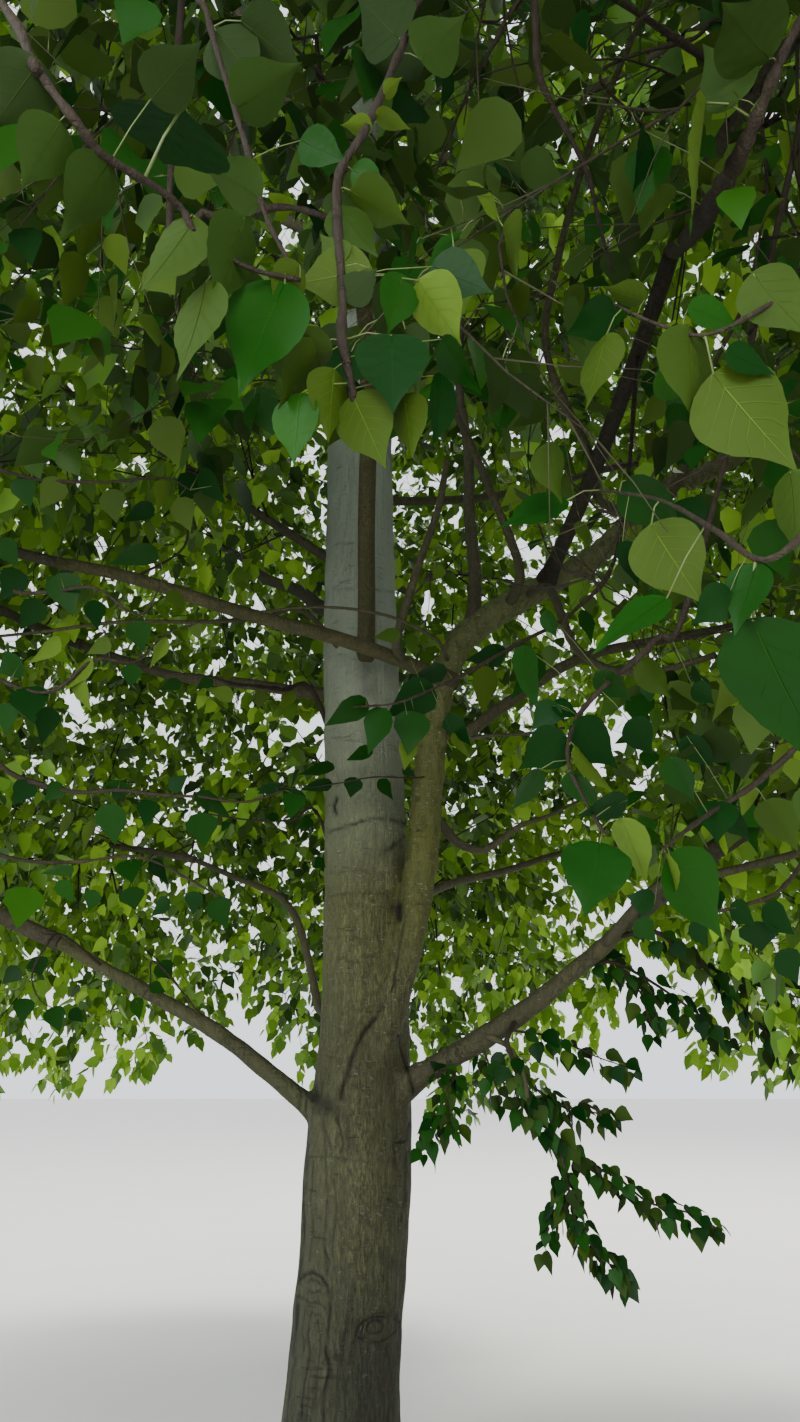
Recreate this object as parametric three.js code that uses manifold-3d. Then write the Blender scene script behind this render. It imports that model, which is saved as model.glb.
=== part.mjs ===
// A balsam poplar in full summer leaf, standing on level ground.
// Millimetres, +Z up. The origin is on the flat cut under the trunk. The two lowest boughs
// leave to -X and +X, and the side with the opening in the foliage looks to -Y.
//
// Every limb is a tapering tube on a gently bent line. Every mass of foliage keeps to its own
// space, a ball cut by flat planes halfway to its neighbours. One stem enters it, twigs leave
// the stem by a seeded rule, and broad leaves, each standing for a spray, sit on the twigs.

import * as THREE from 'three';
import { mergeVertices } from 'three/addons/utils/BufferGeometryUtils.js';
import Module from 'manifold-3d';

const wasm = await Module();
wasm.setup();

const GAP = 0.3;               // clear width where one part meets another
const FINEST = 0.002;          // corners closer together than this become one
const PLACES = 4;              // decimals that tell two corners apart
const GOLDEN_ANGLE = 2.39996;  // turn from one twig to the next round a stem
const ALIGNED = 0.95;           // two unit directions with more than this in common are as good as one
const UP = new THREE.Vector3(0, 0, 1);

// Trunk
const TRUNK_TOP = 11500;         // where it enters the topmost foliage
const TRUNK_TAPER_HEIGHT = 15000;
const TRUNK_TAPER_POWER = 0.6;
const TRUNK_RADIUS = 207;
const ROOT_FLARE = 80;           // added to the radius at the ground
const ROOT_FLARE_HEIGHT = 260;
const ROOT_LOBES = 5;
const ROOT_LOBE_DEPTH = 0.07;
const FORK_HEIGHT = 1250;        // the trunk swells under its fork
const FORK_SWELLING = 24;
const FORK_SWELLING_LENGTH = 300;
const TRUNK_WANDER = 110;        // sideways drift of the upper trunk
const TRUNK_WANDER_X = 7;        // how fast the drift swings to +X and back
const TRUNK_WANDER_Y = 5;
const TRUNK_BULGE = 68;          // the trunk stands this far to +X round its fork
const TRUNK_BULGE_HEIGHT = 2100;
const TRUNK_BULGE_LENGTH = 1350;
const TRUNK_SIDES = 16;
const TRUNK_RINGS = 20;
const TRUNK_RINGS_EVEN = 0.35;   // how evenly the rings are spread: 1 is the same distance all the way

// Boughs
const BOUGH_SIDES = 6;
const BOUGH_STEPS = 4;
const COLLAR = 0.45;             // extra radius where a bough leaves its stem
const COLLAR_LENGTH = 1.5;       // as a share of the bough's radius
const CROOK = 0.022;             // sideways waver of a bough, as a share of its length
const CROOK_TURNS = 8;           // how fast it wavers
const CROOK_PHASES = 6;
const FIRST_BOUGH_SEED = 11;

// Stems through the foliage
const STEM_SIDES = 3;
const STEM_STEPS = 4;
const STEM_REACH = 0.72;         // how far past the middle of its space, as a share of the radius
const STEM_SWEEP = 0.4;          // how far it holds the bough's own direction
const STEM_FIT = 0.95;           // radius, as a share of its bough's at the tip
const STEM_THICKNESS = 0.022;    // radius where it leaves the trunk, as a share of the mass's
const STEM_TAPER = 0.55;

// Twigs
const TWIGS_PER_METRE = 5.4;     // along a stem, for each metre of the mass's radius
const FEWEST_TWIGS = 6;
const FIRST_TWIG = 0.1;          // where the first one leaves, as a share of the stem
const TWIG_SPAN = 0.86;          // how much of the stem they are spread over
const TWIG_SIDES = 3;
const TWIG_STEPS = 2;
const TWIG_THICKNESS = 0.5;      // radius, as a share of the stem's where the twig leaves it
const TWIG_TAPER = 0.5;
const TWIG_LEAN = 66;            // degrees from the stem at its root, less towards its end
const TWIG_LEAN_FALL = 26;
const TWIG_LEAN_SPREAD = 18;
const TWIG_TURN_SPREAD = 0.7;
const TWIG_LENGTH = 1.05;        // as a share of the mass's radius, less towards the stem's end
const TWIG_LENGTH_FALL = 0.45;
const TWIG_LEAST = 0.8;
const TWIG_SPREAD = 0.35;
const TWIG_LIFT = -0.05;         // how much a twig bends up
const TWIG_LIFT_SPREAD = 0.35;
const TWIG_DROOP = -0.5;         // how much it bends down where the foliage hangs
const TWIG_TRIES = 10;
const TWIG_SHORTER = 0.84;       // a twig that doesn't fit is tried again this much shorter
const TWIG_ROOM = 0.07;          // kept free round a twig, as a share of a leaf's length
const LEAF_ROOM = 0.9;           // kept free beyond a twig's tip, as a share of a leaf's length

// Leaves
const MOST_LEAVES = 15;          // on one mass
const LEAF_ROWS = [1, 0.8, 0.6, 0.9, 0.4, 0.7];  // where they sit along a twig, side by side by turns
const LEAVES_APART = 0.52;       // between two leaves' middles, as a share of their length
const LEAF_SHARE = 0.49;         // a leaf's length, as a share of its mass's radius
const LEAF_RETRY = 0.985;
const LEAF_LEAST = 0.85;         // how much shorter than that one can be
const LEAF_SPREAD = 0.3;
const LEAF_WIDTH = 0.88;         // widest part, as a share of the leaf's length
const LEAF_WIDEST = 0.38;        // where it is widest
const LEAF_THICKNESS = 0.022;
const LEAF_FOLD = 0.1;           // how far the two halves rise from the midrib
const LEAF_CLEARANCE = 0.1;      // from its sampled points to a limb
const LEAF_SAMPLES = [0.3, 0.65];
const LEAF_LEAN_FIRST = 11.5;    // degrees from the twig, at its tip
const LEAF_LEAN = 58;            // and along its sides
const LEAF_TURN_SPREAD = 0.5;
const LEAF_HANG = 0.3;           // how much it hangs
const LEAF_HANG_SPREAD = 0.6;
const LEAF_TILT = 1.6;           // how far its face turns from looking up
const LEAF_FACING_UP = 0.3;
const FIRST_FOLIAGE_SEED = 101;
const FOLIAGE_SEED_STEP = 7;

// Clear widths
const SPACE_MARGIN = 12;         // along each plane between two masses
const LIMB_MARGIN = 25;          // between twigs and the limbs they don't grow from

// The opening in the foliage that shows the trunk and its fork from the front
const OPENING_REACH = 4600;      // how far out it starts
const OPENING_FOOT = 1600;       // height of its roof there
const OPENING_SLOPE = 0.66;      // rise of the roof towards the trunk
const OPENING_LEFT = -290;       // its sides where it meets the trunk
const OPENING_RIGHT = 620;
const OPENING_RIGHT_LOW = 230;   // its right side below the fork
const OPENING_START = 212;       // its middle at the outer end
const OPENING_START_HALF = 60;

// Boughs: the limb each leaves and how high, where it ends, how far its middle is bent from the
// straight line, and its radius at both ends
const boughs = [
  { name: 'second_stem_lower', on: 'trunk', from: 1150, tip: [490, -150, 3500],
    bend: [35, -85, 0], thick: 92, thin: 68 },
  { name: 'second_stem_upper', on: 'second_stem_lower', tip: [1980, 0, 4620],
    bend: [0, -20, 20], thick: 66, thin: 44 },
  { name: 'bough_low_left', on: 'trunk', from: 1310, tip: [-1290, 0, 2130],
    bend: [0, 0, 65], thick: 55, thin: 40 },
  { name: 'bough_low_right', on: 'trunk', from: 1430, tip: [1130, -600, 2180],
    bend: [0, 0, -50], thick: 60, thin: 46 },
  { name: 'bough_hanging_right', on: 'bough_low_right', share: 0.55, tip: [700, -390, 1500],
    bend: [40, 0, 40], thick: 15, thin: 12 },
  { name: 'bough_low_back_left', on: 'trunk', from: 1720, tip: [-955, 1200, 2730],
    bend: [230, 60, 150], thick: 36, thin: 22 },
  { name: 'bough_low_back', on: 'trunk', from: 1980, tip: [330, 1500, 2560],
    bend: [60, 0, 40], thick: 38, thin: 25 },
  { name: 'bough_low_back_right', on: 'trunk', from: 2160, tip: [1230, 960, 2740],
    bend: [-60, 40, 60], thick: 40, thin: 26 },
  { name: 'bough_left_front', on: 'second_stem_lower', share: 0.93, tip: [-1260, -640, 3660],
    bend: [0, -190, -30], thick: 34, thin: 25 },
  { name: 'bough_front', on: 'trunk', from: 3250, tip: [60, -1500, 4560],
    bend: [30, 60, 60], thick: 34, thin: 22 },
  { name: 'bough_front_right', on: 'second_stem_upper', share: 0.27, tip: [1110, -1900, 4150],
    bend: [40, 0, 40], thick: 36, thin: 28 },
  { name: 'bough_upright', on: 'second_stem_upper', share: 0.04, tip: [540, 40, 4920],
    bend: [30, 0, 0], thick: 34, thin: 24 },
  { name: 'bough_right_front', on: 'second_stem_upper', share: 0.72, tip: [2250, -1150, 4700],
    bend: [0, -60, 50], thick: 34, thin: 24 },
  { name: 'bough_left', on: 'trunk', from: 3290, tip: [-1500, 500, 3760],
    bend: [0, 40, -60], thick: 45, thin: 30 },
  { name: 'bough_back_left', on: 'trunk', from: 3700, tip: [-800, 1560, 4800],
    bend: [0, 0, -60], thick: 44, thin: 29 },
  { name: 'bough_back', on: 'trunk', from: 3950, tip: [430, 1720, 4780],
    bend: [0, 0, -60], thick: 42, thin: 28 },
  { name: 'bough_back_right', on: 'trunk', from: 4350, tip: [1420, 1180, 5250],
    bend: [0, 0, -80], thick: 42, thin: 28 },
];

// Foliage: the limb that carries each mass, the middle of its space and the space's radius
const masses = [
  { name: 'foliage_low_left', on: 'bough_low_left', middle: [-2900, -250, 2850], radius: 1600 },
  { name: 'foliage_low_right', on: 'bough_low_right', middle: [2450, -1400, 2750], radius: 1600 },
  { name: 'foliage_hanging_right', on: 'bough_hanging_right', middle: [1010, -430, 1270],
    radius: 600, droop: true },
  { name: 'foliage_at_fork', on: 'trunk', from: 1590, middle: [350, -120, 1330], radius: 290,
    droop: true },
  { name: 'foliage_low_back_left', on: 'bough_low_back_left', middle: [-2050, 2400, 3050],
    radius: 1650 },
  { name: 'foliage_low_back', on: 'bough_low_back', middle: [450, 3050, 2900], radius: 1650 },
  { name: 'foliage_low_back_right', on: 'bough_low_back_right', middle: [2800, 1350, 2950],
    radius: 1600 },
  { name: 'foliage_left_front', on: 'bough_left_front', middle: [-2350, -2200, 4050],
    radius: 1750 },
  { name: 'foliage_front', on: 'bough_front', middle: [-150, -3050, 4450], radius: 1650 },
  { name: 'foliage_front_right', on: 'bough_front_right', middle: [1350, -3100, 3550],
    radius: 1650 },
  { name: 'foliage_upright', on: 'bough_upright', middle: [850, 350, 6100], radius: 1400 },
  { name: 'foliage_right', on: 'second_stem_upper', middle: [3300, 100, 5200], radius: 1700 },
  { name: 'foliage_right_front', on: 'bough_right_front', middle: [3050, -2300, 5250],
    radius: 1750 },
  { name: 'foliage_left', on: 'bough_left', middle: [-3200, 850, 4950], radius: 1700 },
  { name: 'foliage_back_left', on: 'bough_back_left', middle: [-1550, 3000, 5650],
    radius: 1750 },
  { name: 'foliage_back', on: 'bough_back', middle: [900, 3350, 5550], radius: 1700 },
  { name: 'foliage_back_right', on: 'bough_back_right', middle: [2900, 2350, 6000],
    radius: 1700 },
  { name: 'foliage_inner_back', on: 'trunk', from: 2700, middle: [50, 1350, 3500],
    radius: 1150 },
  { name: 'foliage_inner_left', on: 'trunk', from: 3900, middle: [-1250, -100, 4750],
    radius: 1200 },
  { name: 'foliage_top', on: 'trunk_tip', middle: [40, -30, 12950], radius: 1850 },
];

// Rings of boughs and masses higher up, each evenly spread round the trunk
const UPPER_RING = { count: 6, start: 53, out: 2850, height: 8150, radius: 1850,
  from: 5600, step: 160, boughOut: 1300, boughHeight: 6950, bend: [0, 0, -60], thick: 40, thin: 27 };
const HIGH_RING = { count: 4, start: 10, out: 1900, height: 10900, radius: 1750,
  from: 9000, step: 180 };

const bark = new THREE.MeshStandardMaterial({ color: 0x8d8674, roughness: 0.85, metalness: 0 });
const greens = [0x4f7a2c, 0x5d8a33, 0x46702f, 0x6c9438].map(
  (color) => new THREE.MeshStandardMaterial({ color, roughness: 0.55, metalness: 0 }));

const limbs = {};
const tree = new THREE.Group();

// Seeded numbers from 0 to 1
function randomFrom(seed) {
  let state = seed >>> 0;
  return () => {
    state = (state + 0x6d2b79f5) >>> 0;
    let mixed = Math.imul(state ^ (state >>> 15), state | 1);
    mixed ^= mixed + Math.imul(mixed ^ (mixed >>> 7), mixed | 61);
    return ((mixed ^ (mixed >>> 14)) >>> 0) / 4294967296;
  };
}

function vector(array) {
  return new THREE.Vector3(array[0], array[1], array[2]);
}

function degrees(angle) {
  return THREE.MathUtils.degToRad(angle);
}

// A point out from the trunk's axis at an angle round it
function roundTrunk(out, angle, height) {
  return [out * Math.cos(degrees(angle)), out * Math.sin(degrees(angle)), height];
}

// Trunk

function trunkRadius(height) {
  const taper = Math.pow(1 - height / TRUNK_TAPER_HEIGHT, TRUNK_TAPER_POWER);
  const fork = (height - FORK_HEIGHT) / FORK_SWELLING_LENGTH;
  return TRUNK_RADIUS * taper + ROOT_FLARE * Math.exp(-height / ROOT_FLARE_HEIGHT)
    + FORK_SWELLING * Math.exp(-fork * fork);
}

function trunkBulge(height) {
  const place = (height - TRUNK_BULGE_HEIGHT) / TRUNK_BULGE_LENGTH;
  return TRUNK_BULGE * Math.exp(-place * place);
}

function trunkMiddle(height) {
  const share = height / TRUNK_TAPER_HEIGHT;
  const drift = TRUNK_WANDER * share * share;
  const x = trunkBulge(height) - trunkBulge(0) + drift * Math.sin(share * TRUNK_WANDER_X);
  return new THREE.Vector3(x, -drift * Math.sin(share * TRUNK_WANDER_Y), height);
}

// The trunk's rings are close together at the roots and the fork
function trunkHeight(share) {
  return TRUNK_TOP * share * (TRUNK_RINGS_EVEN + (1 - TRUNK_RINGS_EVEN) * share);
}

function trunkRing(height, grown) {
  const middle = trunkMiddle(height);
  const lobe = ROOT_LOBE_DEPTH * Math.exp(-height / ROOT_FLARE_HEIGHT);
  const ring = [];
  for (let side = 0; side < TRUNK_SIDES; side += 1) {
    const angle = (side / TRUNK_SIDES) * Math.PI * 2;
    const radius = trunkRadius(height) * (1 + lobe * Math.cos(ROOT_LOBES * angle)) + grown;
    ring.push(new THREE.Vector3(
      middle.x + radius * Math.cos(angle), middle.y + radius * Math.sin(angle), height));
  }
  return ring;
}

function trunkRings(grown) {
  const rings = [];
  for (let index = 0; index <= TRUNK_RINGS; index += 1) {
    rings.push(trunkRing(trunkHeight(index / TRUNK_RINGS), grown));
  }
  return rings;
}

// Solids from rings

function triangulate(rings) {
  const sides = rings[0].length;
  const triangles = [];
  for (let side = 1; side < sides - 1; side += 1) {
    const last = (rings.length - 1) * sides;
    triangles.push([0, side + 1, side], [last, last + side, last + side + 1]);
  }
  for (let index = 0; index < rings.length - 1; index += 1) {
    for (let side = 0; side < sides; side += 1) {
      const here = index * sides + side;
      const beside = index * sides + ((side + 1) % sides);
      triangles.push([here, beside, beside + sides], [here, beside + sides, here + sides]);
    }
  }
  return triangles;
}

function solidFrom(points, triangles) {
  const vertProperties = new Float32Array(points.length * 3);
  points.forEach((point, index) => point.toArray(vertProperties, index * 3));
  const triVerts = new Uint32Array(triangles.flat());
  return new wasm.Manifold(new wasm.Mesh({ numProp: 3, vertProperties, triVerts }));
}

function solidFromRings(rings) {
  return solidFrom(rings.flat(), triangulate(rings));
}

// The direction of a line of points at one of them
function tangentAt(points, index) {
  const before = points[Math.max(index - 1, 0)];
  const after = points[Math.min(index + 1, points.length - 1)];
  return after.clone().sub(before).normalize();
}

// Two directions square to a line, carried along it without twisting
function carriedFrames(points, firstTangent) {
  const frames = [];
  let side = new THREE.Vector3(1, 0, 0);
  points.forEach((point, index) => {
    const tangent = index === 0 && firstTangent ? firstTangent.clone() : tangentAt(points, index);
    if (index === 0 && Math.abs(tangent.x) > ALIGNED) {
      side.set(0, 1, 0);
    }
    side = side.clone().addScaledVector(tangent, -side.dot(tangent)).normalize();
    frames.push({ tangent, side, other: tangent.clone().cross(side) });
  });
  return frames;
}

function tube(points, radii, sides, firstTangent, grown = 0) {
  const rings = carriedFrames(points, firstTangent).map((frame, index) => {
    const ring = [];
    for (let corner = 0; corner < sides; corner += 1) {
      const angle = (corner / sides) * Math.PI * 2;
      ring.push(points[index].clone()
        .addScaledVector(frame.side, (radii[index] + grown) * Math.cos(angle))
        .addScaledVector(frame.other, (radii[index] + grown) * Math.sin(angle)));
    }
    return ring;
  });
  return solidFromRings(rings);
}

// Limbs

// The straight line from start to tip, bent in its middle, with a waver to both sides
function bentLine(start, tip, bend, seed, shares) {
  const random = randomFrom(seed);
  const phase = random() * CROOK_PHASES;
  const waver = new THREE.Vector3(random() - 0.5, random() - 0.5, random() - 0.5)
    .multiplyScalar(CROOK * 2 * start.distanceTo(tip));
  return shares.map((share) => start.clone().lerp(tip, share)
    .addScaledVector(bend, 4 * share * (1 - share))
    .addScaledVector(waver, Math.sin(share * Math.PI) * Math.sin(share * CROOK_TURNS + phase)));
}

// Where a limb starts: inside its parent, or face to face with its parent's tip
function limbStart(row) {
  if (row.on === 'trunk') {
    return { point: trunkMiddle(row.from), buried: trunkRadius(row.from) };
  }
  const parent = limbs[row.on];
  const last = parent.points.length - 1;
  if (row.share === undefined) {
    const tangent = parent.frames[last].tangent;
    const point = parent.points[last].clone().addScaledVector(tangent, GAP);
    return { point, buried: 0, tangent };
  }
  const place = row.share * last;
  const index = Math.min(Math.floor(place), last - 1);
  const point = parent.points[index].clone().lerp(parent.points[index + 1], place - index);
  return { point, buried: parent.radii[index] };
}

// The shares of its length at which a bough has a ring: at its collar, then evenly
function ringShares(length, buried, thick) {
  const shares = [0];
  if (buried > 0) {
    shares.push(buried / length, (buried + COLLAR_LENGTH * thick) / length);
  }
  const first = shares[shares.length - 1];
  for (let step = 1; step <= BOUGH_STEPS; step += 1) {
    shares.push(first + ((1 - first) * step) / BOUGH_STEPS);
  }
  return shares;
}

function addBough(row, seed) {
  const { point: start, buried, tangent } = limbStart(row);
  const tip = vector(row.tip);
  const length = start.distanceTo(tip);
  const shares = ringShares(length, buried, row.thick);
  const points = bentLine(start, tip, vector(row.bend), seed, shares);
  const radii = shares.map((share) => {
    const beyond = Math.max(share * length - buried, 0);
    const collar = buried > 0 ? COLLAR * row.thick * Math.exp(-beyond / row.thick) : 0;
    return row.thick + (row.thin - row.thick) * share + collar;
  });
  const solid = Object.keys(limbs).reduce((rest, name) => rest.subtract(grownLimb(name)),
    tube(points, radii, BOUGH_SIDES, tangent));
  limbs[row.name] = { points, radii, frames: carriedFrames(points, tangent), start: tangent };
  addNode(row.name, cleanBody(solid), bark);
}

// A limb made thicker by the gap, to cut what grows out of it
function grownLimb(name) {
  if (name === 'trunk') {
    return solidFromRings(trunkRings(GAP));
  }
  const limb = limbs[name];
  return tube(limb.points, limb.radii, BOUGH_SIDES, limb.start, GAP);
}

function addTrunk() {
  const heights = [];
  for (let index = 0; index <= TRUNK_RINGS; index += 1) {
    heights.push(trunkHeight(index / TRUNK_RINGS));
  }
  const points = heights.map(trunkMiddle);
  const frames = heights.map(() => ({ tangent: UP.clone() }));
  limbs.trunk = { points, radii: heights.map(trunkRadius), frames };
  limbs.trunk_tip = limbs.trunk;
  addNode('trunk', solidFromRings(trunkRings(0)), bark);
}

// Foliage

// How far inside its space a point is: less than nothing when it is outside
function depthInSpace(mass, point) {
  const middle = vector(mass.middle);
  const away = point.distanceTo(middle);
  let depth = mass.radius - away;
  const own = away * away - mass.radius * mass.radius;
  masses.forEach((other) => {
    if (other !== mass) {
      const otherMiddle = vector(other.middle);
      const power = point.distanceToSquared(otherMiddle) - other.radius * other.radius;
      depth = Math.min(depth, (power - own) / (2 * middle.distanceTo(otherMiddle)));
    }
  });
  return depth;
}

function inOpening(point) {
  const share = 1 + point.y / OPENING_REACH;
  if (share < 0 || share > 1 || point.z > OPENING_FOOT + OPENING_SLOPE * share * OPENING_REACH) {
    return false;
  }
  const left = THREE.MathUtils.lerp(OPENING_START - OPENING_START_HALF, OPENING_LEFT, share);
  const inner = point.z < OPENING_FOOT ? OPENING_RIGHT_LOW : OPENING_RIGHT;
  const right = THREE.MathUtils.lerp(OPENING_START + OPENING_START_HALF, inner, share);
  return point.x > left && point.x < right;
}

// The pieces of limbs that come near a mass's space, as straight lines with a radius
function limbPiecesNear(mass) {
  const middle = vector(mass.middle);
  const pieces = [];
  Object.values(limbs).forEach((limb) => {
    for (let index = 0; index < limb.points.length - 1; index += 1) {
      const line = new THREE.Line3(limb.points[index], limb.points[index + 1]);
      const radius = Math.max(limb.radii[index], limb.radii[index + 1]);
      const nearest = line.closestPointToPoint(middle, true, new THREE.Vector3());
      if (nearest.distanceTo(middle) < mass.radius + radius + LIMB_MARGIN) {
        pieces.push({ line, radius });
      }
    }
  });
  return pieces;
}

function clearOfLimbs(points, margin, pieces) {
  const nearest = new THREE.Vector3();
  return pieces.every(({ line, radius }) => points.every((point) =>
    line.closestPointToPoint(point, true, nearest).distanceTo(point) > radius + margin));
}

function fits(mass, points, margin, pieces) {
  return points.every((point) => depthInSpace(mass, point) > SPACE_MARGIN && !inOpening(point))
    && clearOfLimbs(points, margin, pieces);
}

// The stem goes on from its bough through the middle of the space, almost to the far side
function stemLine(mass) {
  const start = limbStart(mass);
  const middle = vector(mass.middle);
  const ahead = middle.clone().sub(start.point).normalize();
  const end = middle.clone().addScaledVector(ahead, STEM_REACH * mass.radius);
  const first = start.tangent || ahead;
  const sweep = STEM_SWEEP * start.point.distanceTo(end);
  const control = start.point.clone().addScaledVector(first, sweep);
  const curve = new THREE.QuadraticBezierCurve3(start.point, control, end);
  return { points: curve.getPoints(STEM_STEPS), tangent: start.tangent };
}

function stemRadius(mass, share) {
  const limb = limbs[mass.on];
  const root = mass.from === undefined
    ? STEM_FIT * limb.radii[limb.radii.length - 1] : STEM_THICKNESS * mass.radius;
  return root * (1 - STEM_TAPER * share);
}

// A direction leaning away from another by lean, turned round it by turn
function leaning(direction, turn, lean) {
  const level = Math.abs(direction.z) > ALIGNED ? new THREE.Vector3(1, 0, 0) : UP;
  const side = direction.clone().cross(level).normalize();
  const other = side.clone().cross(direction);
  return direction.clone().multiplyScalar(Math.cos(lean))
    .addScaledVector(side, Math.sin(lean) * Math.cos(turn))
    .addScaledVector(other, Math.sin(lean) * Math.sin(turn));
}

function pointAlong(points, share) {
  const place = share * (points.length - 1);
  const index = Math.min(Math.floor(place), points.length - 2);
  return points[index].clone().lerp(points[index + 1], place - index);
}

function directionAlong(points, share) {
  const index = Math.min(Math.floor(share * (points.length - 1)), points.length - 2);
  return points[index + 1].clone().sub(points[index]).normalize();
}

// A twig bends up as it goes, or down where the foliage hangs
function twigLine(start, direction, length, lift) {
  const points = [start.clone()];
  for (let step = 1; step <= TWIG_STEPS; step += 1) {
    const heading = direction.clone().addScaledVector(UP, (lift * step) / TWIG_STEPS).normalize();
    points.push(points[step - 1].clone().addScaledVector(heading, length / TWIG_STEPS));
  }
  return points;
}

// Where a twig leaves the stem, which way, how long it would be and how much it bends up
function twigPlan(mass, stem, share, index, random) {
  const lean = TWIG_LEAN - TWIG_LEAN_FALL * share + TWIG_LEAN_SPREAD * (random() - 0.5);
  const turn = index * GOLDEN_ANGLE + TWIG_TURN_SPREAD * random();
  const direction = leaning(directionAlong(stem, share), turn, degrees(lean));
  const lift = mass.droop ? TWIG_DROOP : TWIG_LIFT + TWIG_LIFT_SPREAD * random();
  const length = mass.radius * (TWIG_LENGTH - TWIG_LENGTH_FALL * share)
    * (TWIG_LEAST + TWIG_SPREAD * random());
  return { start: pointAlong(stem, share), direction, lift, length };
}

// The longest try at a planned twig that fits its space, or nothing
function fittedTwig(mass, plan, pieces) {
  let { length } = plan;
  for (let attempt = 0; attempt < TWIG_TRIES; attempt += 1) {
    const points = twigLine(plan.start, plan.direction, length, plan.lift);
    const leafTip = points[TWIG_STEPS].clone()
      .addScaledVector(directionAlong(points, 1), LEAF_ROOM * mass.leaf);
    if (fits(mass, [...points.slice(1), leafTip], LIMB_MARGIN, pieces)) {
      return points;
    }
    length *= TWIG_SHORTER;
  }
  return undefined;
}

function growTwigs(mass, stem, pieces) {
  const random = randomFrom(mass.seed);
  const count = Math.max(Math.round((TWIGS_PER_METRE * mass.radius) / 1000), FEWEST_TWIGS);
  const twigs = [];
  for (let index = 0; index < count; index += 1) {
    const share = FIRST_TWIG + (TWIG_SPAN * index) / (count - 1);
    const points = fittedTwig(mass, twigPlan(mass, stem, share, index, random), pieces);
    if (points) {
      twigs.push({ points, radius: TWIG_THICKNESS * stemRadius(mass, share) });
    }
  }
  return twigs;
}

// A leaf's corners: root, left, tip, right, then a point above and one below the midrib
function leafCorners(root, direction, normal, length) {
  const side = direction.clone().cross(normal).normalize();
  const face = side.clone().cross(direction).normalize();
  const wide = root.clone().addScaledVector(direction, length * LEAF_WIDEST);
  const half = (LEAF_WIDTH * length) / 2;
  const raised = wide.clone().addScaledVector(face, LEAF_FOLD * length);
  return [
    root.clone(),
    raised.clone().addScaledVector(side, -half),
    root.clone().addScaledVector(direction, length),
    raised.clone().addScaledVector(side, half),
    wide.clone().addScaledVector(face, (LEAF_THICKNESS * length) / 2),
    wide.clone().addScaledVector(face, (-LEAF_THICKNESS * length) / 2),
  ];
}

function leafSolid(corners) {
  const triangles = [];
  for (let index = 0; index < 4; index += 1) {
    const next = (index + 1) % 4;
    triangles.push([index, 4, next], [index, next, 5]);
  }
  return solidFrom(corners, triangles);
}

// Points spread over a leaf, close enough together that no limb passes between them
function leafSamples([root, left, tip, right, middle]) {
  const samples = [left, tip, right, middle];
  LEAF_SAMPLES.forEach((share) => {
    samples.push(root.clone().lerp(left, share), root.clone().lerp(right, share));
    samples.push(tip.clone().lerp(left, share), tip.clone().lerp(right, share));
    samples.push(middle.clone().lerp(tip, share), middle.clone().lerp(left, share));
    samples.push(middle.clone().lerp(right, share));
  });
  return samples;
}

// A leaf at the tip of every twig, then more along both sides where there is room
function growLeaves(mass, twigs, pieces) {
  const random = randomFrom(mass.seed + 1);
  const leaves = [];
  const twigPieces = twigs.flatMap((twig) => twig.points.slice(1).map((point, index) => (
    { twig, line: new THREE.Line3(twig.points[index], point), radius: TWIG_ROOM * mass.leaf })));
  LEAF_ROWS.forEach((share, row) => {
    twigs.forEach((twig) => {
      const corners = leafOnTwig(mass, twig.points, share, row, random);
      const samples = leafSamples(corners);
      const free = leaves.every((other) =>
        other[4].distanceTo(corners[4]) > LEAVES_APART * mass.leaf);
      const others = twigPieces.filter((piece) => piece.twig !== twig);
      if (free && leaves.length < MOST_LEAVES && clearOfLimbs(samples, 0, others)
        && fits(mass, samples, LEAF_CLEARANCE * mass.leaf, pieces)) {
        leaves.push(corners);
      }
    });
  });
  return leaves;
}

function leafOnTwig(mass, points, share, row, random) {
  const turn = Math.PI * row + LEAF_TURN_SPREAD * (random() - 0.5);
  const lean = degrees(row === 0 ? LEAF_LEAN_FIRST : LEAF_LEAN);
  const direction = leaning(directionAlong(points, share), turn, lean)
    .addScaledVector(UP, -LEAF_HANG - LEAF_HANG_SPREAD * random()).normalize();
  const normal = new THREE.Vector3(LEAF_TILT * (random() - 0.5), LEAF_TILT * (random() - 0.5),
    LEAF_FACING_UP + random());
  const length = mass.leaf * (LEAF_LEAST + LEAF_SPREAD * random());
  return leafCorners(pointAlong(points, share), direction, normal, length);
}

// The largest body of a solid, with its sealed hollows filled
function largestPiece(solid) {
  return solid.decompose().reduce((best, piece) =>
    (piece.volume() > best.volume() ? piece : best));
}

function geometryOf(solid) {
  const mesh = solid.getMesh();
  const geometry = new THREE.BufferGeometry();
  geometry.setAttribute('position', new THREE.BufferAttribute(mesh.vertProperties, 3));
  geometry.setIndex(new THREE.BufferAttribute(mesh.triVerts, 1));
  return geometry;
}

// One clean body: its closest corners are merged, and what that cuts off is dropped
function cleanBody(solid) {
  return [0, FINEST / 2].reduce((body, shift) => {
    const shifted = geometryOf(largestPiece(body)).translate(shift, shift, shift);
    const merged = mergeVertices(shifted, FINEST).translate(-shift, -shift, -shift);
    const vertProperties = new Float32Array(merged.attributes.position.array);
    const triVerts = new Uint32Array(merged.index.array);
    return largestPiece(
      new wasm.Manifold(new wasm.Mesh({ numProp: 3, vertProperties, triVerts })));
  }, solid);
}

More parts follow.
